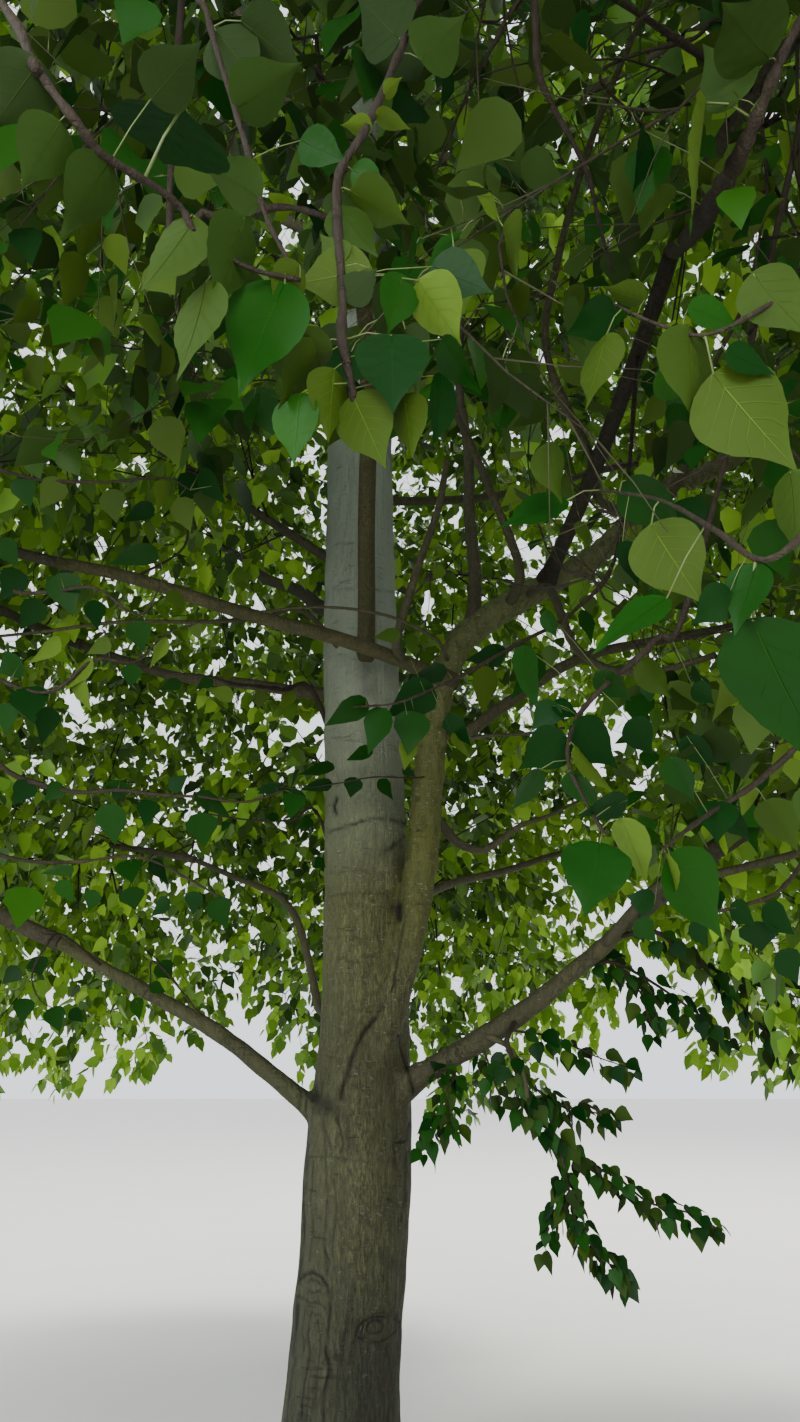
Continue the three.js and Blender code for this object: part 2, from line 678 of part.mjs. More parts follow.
function foliageSolid(mass) {
  const { points, tangent } = stemLine(mass);
  const pieces = limbPiecesNear(mass);
  const radii = points.map((point, step) => stemRadius(mass, step / STEM_STEPS));
  const twigs = growTwigs(mass, points, pieces);
  let solid = tube(points, radii, STEM_SIDES, tangent);
  twigs.forEach((twig) => {
    const thinning = twig.points.map((point, step) =>
      twig.radius * (1 - (TWIG_TAPER * step) / TWIG_STEPS));
    solid = solid.add(tube(twig.points, thinning, TWIG_SIDES));
  });
  growLeaves(mass, twigs, pieces).forEach((corners) => {
    solid = solid.add(leafSolid(corners));
  });
  return cleanBody(tangent ? solid : solid.subtract(grownLimb(mass.on)));
}

// True if two parts of a solid's surface touch along an edge
function touchesItself(solid) {
  const { position } = geometryOf(solid).attributes;
  const { index } = geometryOf(solid);
  const counts = new Map();
  const place = (corner) => [position.getX(corner), position.getY(corner), position.getZ(corner)]
    .map((value) => value.toFixed(PLACES)).join();
  for (let corner = 0; corner < index.count; corner += 1) {
    const next = corner % 3 === 2 ? corner - 2 : corner + 1;
    const edge = [place(index.getX(corner)), place(index.getX(next))].sort().join();
    counts.set(edge, (counts.get(edge) || 0) + 1);
  }
  return [...counts.values()].some((count) => count !== 2);
}

// Where leaves only just touch, slightly smaller ones are tried
function addFoliage(mass, index) {
  mass.seed = FIRST_FOLIAGE_SEED + FOLIAGE_SEED_STEP * index;
  mass.leaf = LEAF_SHARE * mass.radius;
  let solid = foliageSolid(mass);
  while (touchesItself(solid)) {
    mass.leaf *= LEAF_RETRY;
    solid = foliageSolid(mass);
  }
  addNode(mass.name, solid, greens[index % greens.length]);
}

// The rings of boughs and masses in the upper part of the tree
function addRingRows() {
  for (let index = 0; index < UPPER_RING.count; index += 1) {
    const angle = UPPER_RING.start + (360 * index) / UPPER_RING.count;
    const name = `upper_${index + 1}`;
    boughs.push({
      name: `bough_${name}`,
      on: 'trunk',
      from: UPPER_RING.from + UPPER_RING.step * index,
      tip: roundTrunk(UPPER_RING.boughOut, angle, UPPER_RING.boughHeight),
      bend: UPPER_RING.bend,
      thick: UPPER_RING.thick,
      thin: UPPER_RING.thin,
    });
    masses.push({
      name: `foliage_${name}`,
      on: `bough_${name}`,
      middle: roundTrunk(UPPER_RING.out, angle, UPPER_RING.height),
      radius: UPPER_RING.radius,
    });
  }
  for (let index = 0; index < HIGH_RING.count; index += 1) {
    const angle = HIGH_RING.start + (360 * index) / HIGH_RING.count;
    masses.push({
      name: `foliage_high_${index + 1}`,
      on: 'trunk',
      from: HIGH_RING.from + HIGH_RING.step * index,
      middle: roundTrunk(HIGH_RING.out, angle, HIGH_RING.height),
      radius: HIGH_RING.radius,
    });
  }
}

function addNode(name, solid, material) {
  const geometry = geometryOf(solid);
  geometry.computeVertexNormals();
  const node = new THREE.Mesh(geometry, material);
  node.name = name;
  tree.add(node);
}

addTrunk();
addRingRows();
boughs.forEach((row, index) => addBough(row, FIRST_BOUGH_SEED + index));
masses.forEach(addFoliage);

export default tree;
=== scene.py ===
# A balsam poplar in full summer leaf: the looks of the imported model.
# Metres, +Z up, in the model's own frame. The limbs, the spaces of the foliage and the twigs
# follow the rule of the model's source. Finer shoots and leaves grow on from there.

import math

import bmesh
import bpy
import numpy as np
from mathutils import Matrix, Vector


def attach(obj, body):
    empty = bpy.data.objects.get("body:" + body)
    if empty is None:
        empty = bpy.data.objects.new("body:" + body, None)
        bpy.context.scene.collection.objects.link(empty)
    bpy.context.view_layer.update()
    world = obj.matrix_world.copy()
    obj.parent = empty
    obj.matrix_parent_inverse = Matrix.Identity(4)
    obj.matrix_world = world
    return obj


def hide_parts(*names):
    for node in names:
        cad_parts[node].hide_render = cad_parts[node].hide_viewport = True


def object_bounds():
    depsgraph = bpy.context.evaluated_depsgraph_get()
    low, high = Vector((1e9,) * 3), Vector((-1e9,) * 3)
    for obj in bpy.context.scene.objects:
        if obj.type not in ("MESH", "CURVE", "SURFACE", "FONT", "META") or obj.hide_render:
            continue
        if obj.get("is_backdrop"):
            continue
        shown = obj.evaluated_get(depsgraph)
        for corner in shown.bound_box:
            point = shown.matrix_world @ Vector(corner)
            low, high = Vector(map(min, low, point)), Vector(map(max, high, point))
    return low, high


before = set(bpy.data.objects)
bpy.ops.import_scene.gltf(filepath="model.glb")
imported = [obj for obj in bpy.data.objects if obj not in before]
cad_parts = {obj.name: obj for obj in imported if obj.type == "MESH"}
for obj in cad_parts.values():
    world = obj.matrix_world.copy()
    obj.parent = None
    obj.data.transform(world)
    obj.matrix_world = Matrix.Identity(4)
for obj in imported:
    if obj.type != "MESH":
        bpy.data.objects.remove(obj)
cad_low, cad_high = (np.array(corner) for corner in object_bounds())

UP = np.array([0.0, 0.0, 1.0])
GAP = 0.0003
ALIGNED = 0.95
GOLDEN_ANGLE = 2.39996
MASK = 0xFFFFFFFF

# Trunk
TRUNK_TOP = 11.5
TRUNK_TAPER_HEIGHT = 15.0
TRUNK_TAPER_POWER = 0.6
TRUNK_RADIUS = 0.207
ROOT_FLARE = 0.08
ROOT_FLARE_HEIGHT = 0.26
ROOT_LOBES = 5
ROOT_LOBE_DEPTH = 0.07
FORK_HEIGHT = 1.25
FORK_SWELLING = 0.024
FORK_SWELLING_LENGTH = 0.3
TRUNK_WANDER = 0.11
TRUNK_WANDER_X = 7
TRUNK_WANDER_Y = 5
TRUNK_BULGE = 0.068
TRUNK_BULGE_HEIGHT = 2.1
TRUNK_BULGE_LENGTH = 1.35
TRUNK_RINGS = 20
TRUNK_RINGS_EVEN = 0.35

# Boughs
BOUGH_STEPS = 4
COLLAR = 0.45
COLLAR_LENGTH = 1.5
CROOK = 0.022
CROOK_TURNS = 8
CROOK_PHASES = 6
BARK_RING_SPACING = 0.045    # along a bough
FEWEST_BARK_RINGS = 8
CURVE_STEPS = 6
FIRST_BOUGH_SEED = 11

# Stems and twigs of the foliage
STEM_STEPS = 4
STEM_RINGS = 14
STEM_REACH = 0.72
STEM_SWEEP = 0.4
STEM_FIT = 0.95
STEM_THICKNESS = 0.022
STEM_TAPER = 0.55
TWIGS_PER_METRE = 5.4
FEWEST_TWIGS = 6
FIRST_TWIG = 0.1
TWIG_SPAN = 0.86
TWIG_STEPS = 2
TWIG_THICKNESS = 0.5
TWIG_LEAN = 66
TWIG_LEAN_FALL = 26
TWIG_LEAN_SPREAD = 18
TWIG_TURN_SPREAD = 0.7
TWIG_LENGTH = 1.05
TWIG_LENGTH_FALL = 0.45
TWIG_LEAST = 0.8
TWIG_SPREAD = 0.35
TWIG_LIFT = -0.05
TWIG_LIFT_SPREAD = 0.35
TWIG_TRIES = 10
TWIG_SHORTER = 0.84
LEAF_ROOM = 0.9
LEAF_SHARE = 0.49
FIRST_FOLIAGE_SEED = 101
FOLIAGE_SEED_STEP = 7
SPACE_MARGIN = 0.012
LIMB_MARGIN = 0.025
TWIG_MARGIN = 0.004
LEAF_MARGIN = 0.02
SPACE_SLACK = -0.02

# The opening in the foliage in front of the trunk
OPENING_REACH = 4.6
OPENING_FOOT = 1.6
OPENING_SLOPE = 0.66
OPENING_LEFT = -0.29
OPENING_RIGHT = 0.62
OPENING_RIGHT_LOW = 0.23
OPENING_START = 0.212
OPENING_START_HALF = 0.06

# Side twigs, and the shoots that carry the leaves
SIDE_TWIGS = dict(on_stem=0.2, on_twigs=0.1, spacing=0.2, length=0.85, fall=0.5, lean=52, steps=4,
                  crossing=0.22)
SHOOTS = dict(on_stem=0.3, on_twigs=0.2, on_sides=0.06, spacing=0.085, length=0.25, fall=0.25,
              lean=50, steps=2, crossing=0.28)
FILLING_TWIGS = [dict(grid=0.55, apart=0.3, farthest=1.2), dict(grid=0.36, apart=0.2, farthest=0.8)]
FILLING_EDGE = 0.12          # how far inside its space a filling twig ends
EDGE_WAVES = (0.5, 1.3, 12)  # shortest, longest and how many
FILLING_CROSSING = 0.12
FILLING_MARGIN = 0.06
FILLING_SWEEP = (0.3, 0.2, 0.12)  # along its parent, towards its end, and upwards
BATCH = 256
CROWDED_CELL = 0.25          # shoots are thinned to so many in each cell of about this size
CROWDED_MOST = 1
SHOOT_THICKNESS = 0.0026
SIDE_TWIG_GAIN = 2.0         # in thickness with length, against a shoot's
LIFTS = [(3.3, (-1.1, 0.15)), (6.2, (-0.85, 0.3)), (99, (-0.4, 0.45))]  # by height of the foliage
FINE_TWIG_STEPS = 8
TWIG_WAVER = 0.012
TWIG_WAVER_TURNS = (2.0, 4.5)
LINE_TURN = 2.4
LEAN_SPREAD = 15             # degrees
TIP_LEANS = (2, 12)
TIP_SHARE = 0.6              # growth at a tip is as long as growth at this share of its parent
FULL_SIZE_RADIUS = 1.3       # growth is shorter in masses smaller than this
GROWTH_LENGTHS = (0.6, 1.3)
GROWTH_TRIES = 4
GROWTH_SHORTER = 0.7
BRANCHLET_FINENESS = 0.62    # radius of a twig here, as a share of the solid model's
BRANCHLET_TAPER = 0.28
REACH_MARGIN = 0.12          # how far leaves may stand out of the solid model's box

# Leaves
LEAF_LENGTH = 0.108
LEAF_WIDTH = 0.8
LEAF_SPACING = 0.04
LEAF_THICKNESS = 0.0004
LEAFY_SHARE = 0.9            # leaves are counted by this share of their shoot
FIRST_LEAF = 0.15            # place of the first one, as a share of its shoot
LEAF_LEANS = (42, 70)        # degrees from the shoot
TIP_LEAF_LEAN = 15
TIP_LEAF_SIZE = 0.75
LEAF_SIZES = (0.72, 1.18)
STALK_DROOP = 0.35
BLADE_DROOP = 0.55
BLADE_DROOP_SPREAD = (-0.4, 0.7)
FACE_TILT = 0.8
WIDTHS = (0.88, 1.1)
FOLDS = (0.02, 0.32)
CURLS = (-0.05, 0.3)
MOST_RIPPLE = 0.03
BLADE_WIDEST_POWER = 0.58
BLADE_DRAWN_FROM = 0.6       # the tip is drawn out from this share of the blade, by so much
BLADE_DRAWN_IN = 0.6
LOW_DOWN = 3.3               # foliage below this is denser
HIGH_UP = 7.0                # foliage above this has fewer and larger leaves
HIGH_UP_SPARSER = 1.2
LOW_DOWN_SPARSER = 0.755
MIDDLE_SPARSER = 0.97
HIGH_UP_LARGER = 1.3
FAR_LARGER = 1.05
LOW_LARGER = 0.93
SPRAY_LEAF_SCALE = 0.74      # leaves of the twigs seen against the light
SPRAY_LEAF_DROOP = 0.9
SPRAY_TINTS = (1.0, 1.1)     # mean and spread
SPRAY_ROUGHNESS = 0.05
SPRAY_SEED = 31
SEEN_LEAF_SEED = 7
SEEN_FOLDS = (0.05, 0.2)
SEEN_CURL = 0.2
SEEN_RIPPLE = 0.02
STALK_SHARE = 0.34           # a leaf stalk's length, as a share of the blade's
STALKS_SEEN = 5.5            # leaves further than this from the camera sit on their shoots
HIDING_HALF = 0.32           # a leaf hides what lies within this share of its length
HIDING_PIXELS = 5            # and within so many pixels more
VIEW_STEPS = 60
NEAREST = 1.1                # no leaf grows closer to the camera, but for those read off the photograph
NEAR = 1.7                   # leaves closer than this to the camera have veins
NEAR_SEEN = 2.3              # and those read off the photograph, closer than this
MIDDLE = 3.3                 # and closer than this they have two sides
SHADE_TINT = 2.35            # mean tint of the foliage
TINT_SPREAD = 0.95
OWN_TINT_SPREAD = 0.55
SHADE_BEHIND = 0.28          # how much lighter it gets in each metre away from the camera
SHADE_OUT = 0.55             # and towards its outside, beyond a distance from the trunk
LIT_OUT = 2.6
LIT_AWAY = 3                 # only this far from the camera, or behind it
LIT_FRONT = -4.05
SHADE_RIGHT = 1.9            # and to both sides, beyond a distance from the middle
SHADE_LEFT = 0.6
LIT_SIDES = 0.8
LIT_BELOW = 4.6              # to the right only below this
SHADE_LOW = 0.7              # how much darker it is low down

# Camera: eye level, where the photograph was taken from
CAMERA = np.array([0.212, -4.6, 1.6])
CAMERA_PITCH = math.radians(19.27)
CAMERA_LENS = 26.0
SENSOR = 36.0
PHOTO_WIDTH = 800
PHOTO_HEIGHT = 1422
PIXELS = CAMERA_LENS / SENSOR * PHOTO_HEIGHT

# Limbs that the photograph shows and the solid model leaves out: the limb that each is on, the
# share of that limb's length there, its own radius at the root and at the tip, and the places it
# is seen at, as (across, down, depth): two pixels of the photograph and metres from the camera
SEEN_LIMBS = [
    ("second_stem_lower", 0.6, 0.028, 0.006,
        [(437, 822, 4.7), (457, 842, 4.74), (480, 850, 4.74), (499, 841, 4.72), (520, 826, 4.7),
         (548, 816, 4.72), (580, 800, 4.75)]),
    ("second_stem_upper", 0.16, 0.024, 0.016,
        [(520, 577, 4.62), (512, 543, 4.66), (493, 497, 4.66), (473, 450, 4.6), (452, 405, 4.5)]),
    ("bough_left_front", 0.13, 0.021, 0.014,
        [(396, 645, 4.46), (407, 603, 4.44), (421, 558, 4.4), (438, 510, 4.4), (447, 460, 4.3)]),
    ("second_stem_lower", 0.86, 0.031, 0.02,
        [(462, 733, 4.66), (497, 710, 4.72), (523, 693, 4.76), (560, 668, 4.8), (600, 652, 4.8),
         (645, 643, 4.8), (695, 634, 4.8), (770, 619, 4.8)]),
    ("second_stem_upper", 0.22, 0.02, 0.011,
        [(548, 588, 4.4), (562, 617, 4.2), (572, 642, 4.05), (590, 660, 3.95), (615, 670, 3.85),
         (655, 672, 3.7), (692, 662, 3.6), (716, 655, 3.55)]),
    ("second_stem_lower", 0.84, 0.011, 0.006,
        [(452, 740, 4.62), (485, 736, 4.6), (522, 734, 4.6), (565, 728, 4.6)]),
    ("second_stem_lower", 0.95, 0.009, 0.005,
        [(441, 645, 4.5), (433, 637, 4.42), (400, 620, 4.3), (360, 610, 4.25), (310, 607, 4.2),
         (262, 612, 4.2)]),
    ("second_stem_upper", 0.62, 0.022, 0.008,
        [(600, 500, 4.6), (590, 455, 4.3), (566, 405, 4.1), (545, 340, 3.9), (560, 250, 3.6),
         (582, 170, 3.4), (610, 90, 3.2), (650, 0, 3.0)]),
    ("trunk", 0.455, 0.014, 0.006,
        [(305, 612, 4.7), (262, 618, 4.6), (200, 622, 4.5), (120, 622, 4.4), (40, 632, 4.3),
         (-40, 640, 4.3)]),
    ("bough_low_right", 0.86, 0.022, 0.012,
        [(655, 890, 3.75), (690, 880, 3.7), (725, 872, 3.65), (785, 857, 3.6), (840, 840, 3.5)]),
]

# Leafy twigs seen against the light, with the space between their leaves after the radii
SEEN_SPRAYS = {
    "hanging": ("bough_low_right", 0.55, 0.011, 0.003, 0.0115,
        [(507, 1040, 4.0), (514, 1062, 4.02), (520, 1085, 4.05), (530, 1115, 4.08), (550, 1130, 4.1),
         (570, 1150, 4.12), (590, 1165, 4.12), (617, 1177, 4.1), (632, 1190, 4.1), (650, 1203, 4.08),
         (675, 1209, 4.05), (697, 1216, 4.02), (715, 1227, 4.0)]),
    "hanging_out": ("hanging", 0.2, 0.006, 0.002, 0.011,
        [(552, 1100, 4.15), (572, 1108, 4.2), (592, 1112, 4.2), (610, 1117, 4.2)]),
    "hanging_down": ("hanging", 0.42, 0.007, 0.002, 0.009,
        [(563, 1162, 4.06), (568, 1185, 4.02), (572, 1208, 4.0), (580, 1230, 3.98), (594, 1248, 3.98),
         (609, 1264, 3.98), (622, 1280, 3.98)]),
    "hanging_back": ("hanging_down", 0.3, 0.005, 0.002, 0.012,
        [(560, 1200, 4.1), (549, 1224, 4.1), (544, 1246, 4.08)]),
    "by_fork": ("bough_low_right", 0.22, 0.006, 0.002, 0.011,
        [(454, 1072, 4.1), (447, 1090, 4.1), (440, 1112, 4.08), (431, 1132, 4.06), (425, 1148, 4.05)]),
    "by_fork_2": ("by_fork", 0.45, 0.004, 0.002, 0.013,
        [(450, 1112, 4.05), (455, 1130, 4.03)]),
    "by_bough": ("bough_low_right", 0.42, 0.006, 0.002, 0.014,
        [(488, 1062, 4.1), (494, 1080, 4.1), (500, 1098, 4.08)]),
    "under_bough": ("bough_low_right", 0.5, 0.006, 0.002, 0.02,
        [(516, 1031, 4.1), (550, 1036, 4.15), (573, 1046, 4.2), (600, 1058, 4.2), (630, 1068, 4.2)]),
    "low_right": ("bough_low_right", 0.9, 0.012, 0.003, 0.02,
        [(655, 932, 3.9), (680, 950, 3.95), (715, 970, 4.0), (760, 984, 4.0), (805, 1000, 4.0)]),
    "low_right_in": ("bough_low_right", 0.72, 0.009, 0.003, 0.018,
        [(605, 962, 4.1), (640, 975, 4.15), (690, 1008, 4.2), (725, 1035, 4.2)]),
    "low_right_mid": ("low_right_in", 0.35, 0.005, 0.002, 0.016,
        [(640, 992, 4.12), (646, 1010, 4.1), (653, 1030, 4.1)]),
    "low_right_down": ("low_right", 0.5, 0.006, 0.002, 0.016,
        [(735, 1000, 3.95), (765, 1030, 3.9), (792, 1062, 3.85)]),
    "left_of_trunk": ("trunk", 0.28, 0.008, 0.003, 0.045,
        [(322, 823, 4.7), (290, 821, 4.75), (250, 820, 4.8), (195, 812, 4.8)]),
    "left_upright": ("bough_left_front", 0.8, 0.006, 0.003, 0.06,
        [(184, 547, 4.3), (185, 500, 4.25), (188, 450, 4.2), (192, 420, 4.15)]),
}

# Twigs that hang near the camera, with the leaves read off the photograph below
SEEN_TWIGS = {
    "left": ("foliage_front", 0.85, 0.0058, 0.003,
        [(-60, -200, 1.3), (20, 30, 1.02), (43, 77, 1.0), (77, 123, 1.0), (97, 150, 1.02),
         (127, 170, 1.05), (160, 190, 1.08), (183, 210, 1.1), (197, 233, 1.1), (247, 267, 1.12),
         (300, 280, 1.15)]),
    "left_2": ("foliage_front", 0.8, 0.005, 0.0025,
        [(190, -90, 1.5), (207, 13, 1.35), (230, 93, 1.3), (250, 160, 1.25), (263, 207, 1.22),
         (277, 240, 1.18), (300, 278, 1.16)]),
    "centre": ("foliage_front", 0.6, 0.005, 0.0058,
        [(430, -120, 1.5), (407, 27, 1.38), (393, 67, 1.34), (367, 127, 1.28), (345, 162, 1.25),
         (337, 185, 1.24), (338, 233, 1.22), (343, 300, 1.2), (341, 333, 1.2), (351, 383, 1.2),
         (355, 410, 1.22), (360, 436, 1.28)]),
    "right_top": ("bough_front_right", 1.0, 0.026, 0.003,
        [(683, 243, 2.6), (698, 226, 2.05), (714, 200, 1.7), (735, 165, 1.5), (760, 110, 1.42),
         (790, 40, 1.4), (835, -40, 1.4)]),
    "top_middle": ("foliage_front_right", 0.3, 0.009, 0.003,
        [(520, -60, 2.0), (534, 0, 2.0), (538, 68, 2.0), (552, 105, 2.0), (577, 150, 2.0),
         (590, 182, 2.0), (600, 227, 2.05), (613, 273, 2.1)]),
    "top_middle_2": ("foliage_front_right", 0.35, 0.007, 0.003,
        [(720, 20, 2.6), (693, 39, 2.6), (634, 55, 2.6), (600, 78, 2.6), (647, 127, 2.6),
         (684, 150, 2.6)]),
    "top_left": ("foliage_front", 0.5, 0.007, 0.003,
        [(530, -60, 2.4), (505, 20, 2.4), (485, 60, 2.4), (465, 100, 2.4), (440, 160, 2.4)]),
    "pale_left": ("foliage_front", 0.75, 0.008, 0.006,
        [(170, 190, 1.9), (203, 212, 1.9), (228, 218, 1.9), (250, 213, 1.9), (282, 207, 1.9),
         (315, 213, 1.9), (338, 224, 1.92), (368, 250, 1.95)]),
    "right_high": ("foliage_front_right", 0.5, 0.004, 0.002,
        [(900, 200, 1.4), (820, 270, 1.25), (760, 310, 1.2), (705, 335, 1.2), (660, 325, 1.25),
         (615, 305, 1.3)]),
    "right_edge": ("foliage_front_right", 0.6, 0.005, 0.002,
        [(900, 450, 1.2), (820, 520, 1.08), (765, 560, 1.05), (715, 530, 1.15), (660, 500, 1.3),
         (600, 490, 1.45)]),
    "right": ("foliage_front_right", 0.45, 0.007, 0.003,
        [(700, 560, 2.1), (655, 640, 2.05), (600, 690, 2.0), (575, 722, 1.95), (568, 760, 1.85),
         (585, 800, 1.75), (605, 835, 1.65)]),
    "right_low": ("foliage_front_right", 0.55, 0.008, 0.003,
        [(860, 640, 1.9), (810, 730, 1.85), (760, 780, 1.85), (715, 810, 1.8), (680, 835, 1.7),
         (662, 850, 1.65)]),
    "dark_right": ("foliage_right_front", 0.3, 0.008, 0.003,
        [(860, 760, 2.6), (810, 850, 2.4), (780, 890, 2.3), (745, 905, 2.25), (700, 915, 2.2)]),
    "crossing": ("bough_front_right", 0.75, 0.008, 0.0025,
        [(620, 540, 3.15), (575, 610, 3.05), (515, 645, 2.95), (463, 675, 2.85), (437, 687, 2.8),
         (397, 703, 2.75), (352, 707, 2.75)]),
    "left_middle": ("foliage_left_front", 0.2, 0.008, 0.002,
        [(-40, 560, 3.1), (10, 590, 2.8), (50, 592, 2.75), (95, 588, 2.7), (140, 615, 2.7),
         (165, 575, 2.75)]),
    "left_pale": ("foliage_left_front", 0.3, 0.007, 0.002,
        [(-50, 650, 2.8), (0, 680, 2.7), (50, 692, 2.65), (95, 660, 2.65), (135, 662, 2.7),
         (165, 635, 2.75), (200, 622, 2.8)]),
    "left_upper": ("foliage_left_front", 0.15, 0.007, 0.002,
        [(-40, 470, 2.9), (40, 480, 2.8), (105, 482, 2.75), (165, 478, 2.75), (190, 490, 2.75)]),
    "knot_left": ("trunk", 0.37, 0.015, 0.004,
        [(316, 697, 4.85), (282, 690, 4.7), (255, 686, 4.5), (233, 684, 4.3), (205, 676, 4.2),
         (160, 672, 4.1)]),
    "left_near": ("foliage_low_left", 0.5, 0.008, 0.003,
        [(-60, 750, 3.2), (20, 778, 3.0), (75, 792, 2.95), (118, 790, 2.9), (160, 795, 2.85),
         (200, 797, 2.85), (245, 802, 2.85), (285, 790, 2.9)]),
    "left_near_low": ("foliage_low_left", 0.3, 0.007, 0.003,
        [(-50, 845, 3.5), (20, 860, 3.3), (75, 862, 3.2), (125, 856, 3.15), (155, 862, 3.1),
         (190, 880, 3.05), (220, 897, 3.0)]),
    "left_bough": ("bough_low_left", 0.85, 0.007, 0.002,
        [(62, 935, 4.3), (45, 948, 4.2), (32, 975, 4.15), (40, 1000, 4.1), (62, 1012, 4.1)]),
    "left_bough_2": ("bough_low_left", 0.5, 0.005, 0.002,
        [(156, 962, 4.35), (150, 985, 4.3), (138, 1003, 4.3)]),
    "trunk": ("second_stem_lower", 0.72, 0.004, 0.002,
        [(412, 778, 4.4), (375, 777, 4.25), (340, 783, 4.2), (300, 788, 4.2), (262, 785, 4.25)]),
}

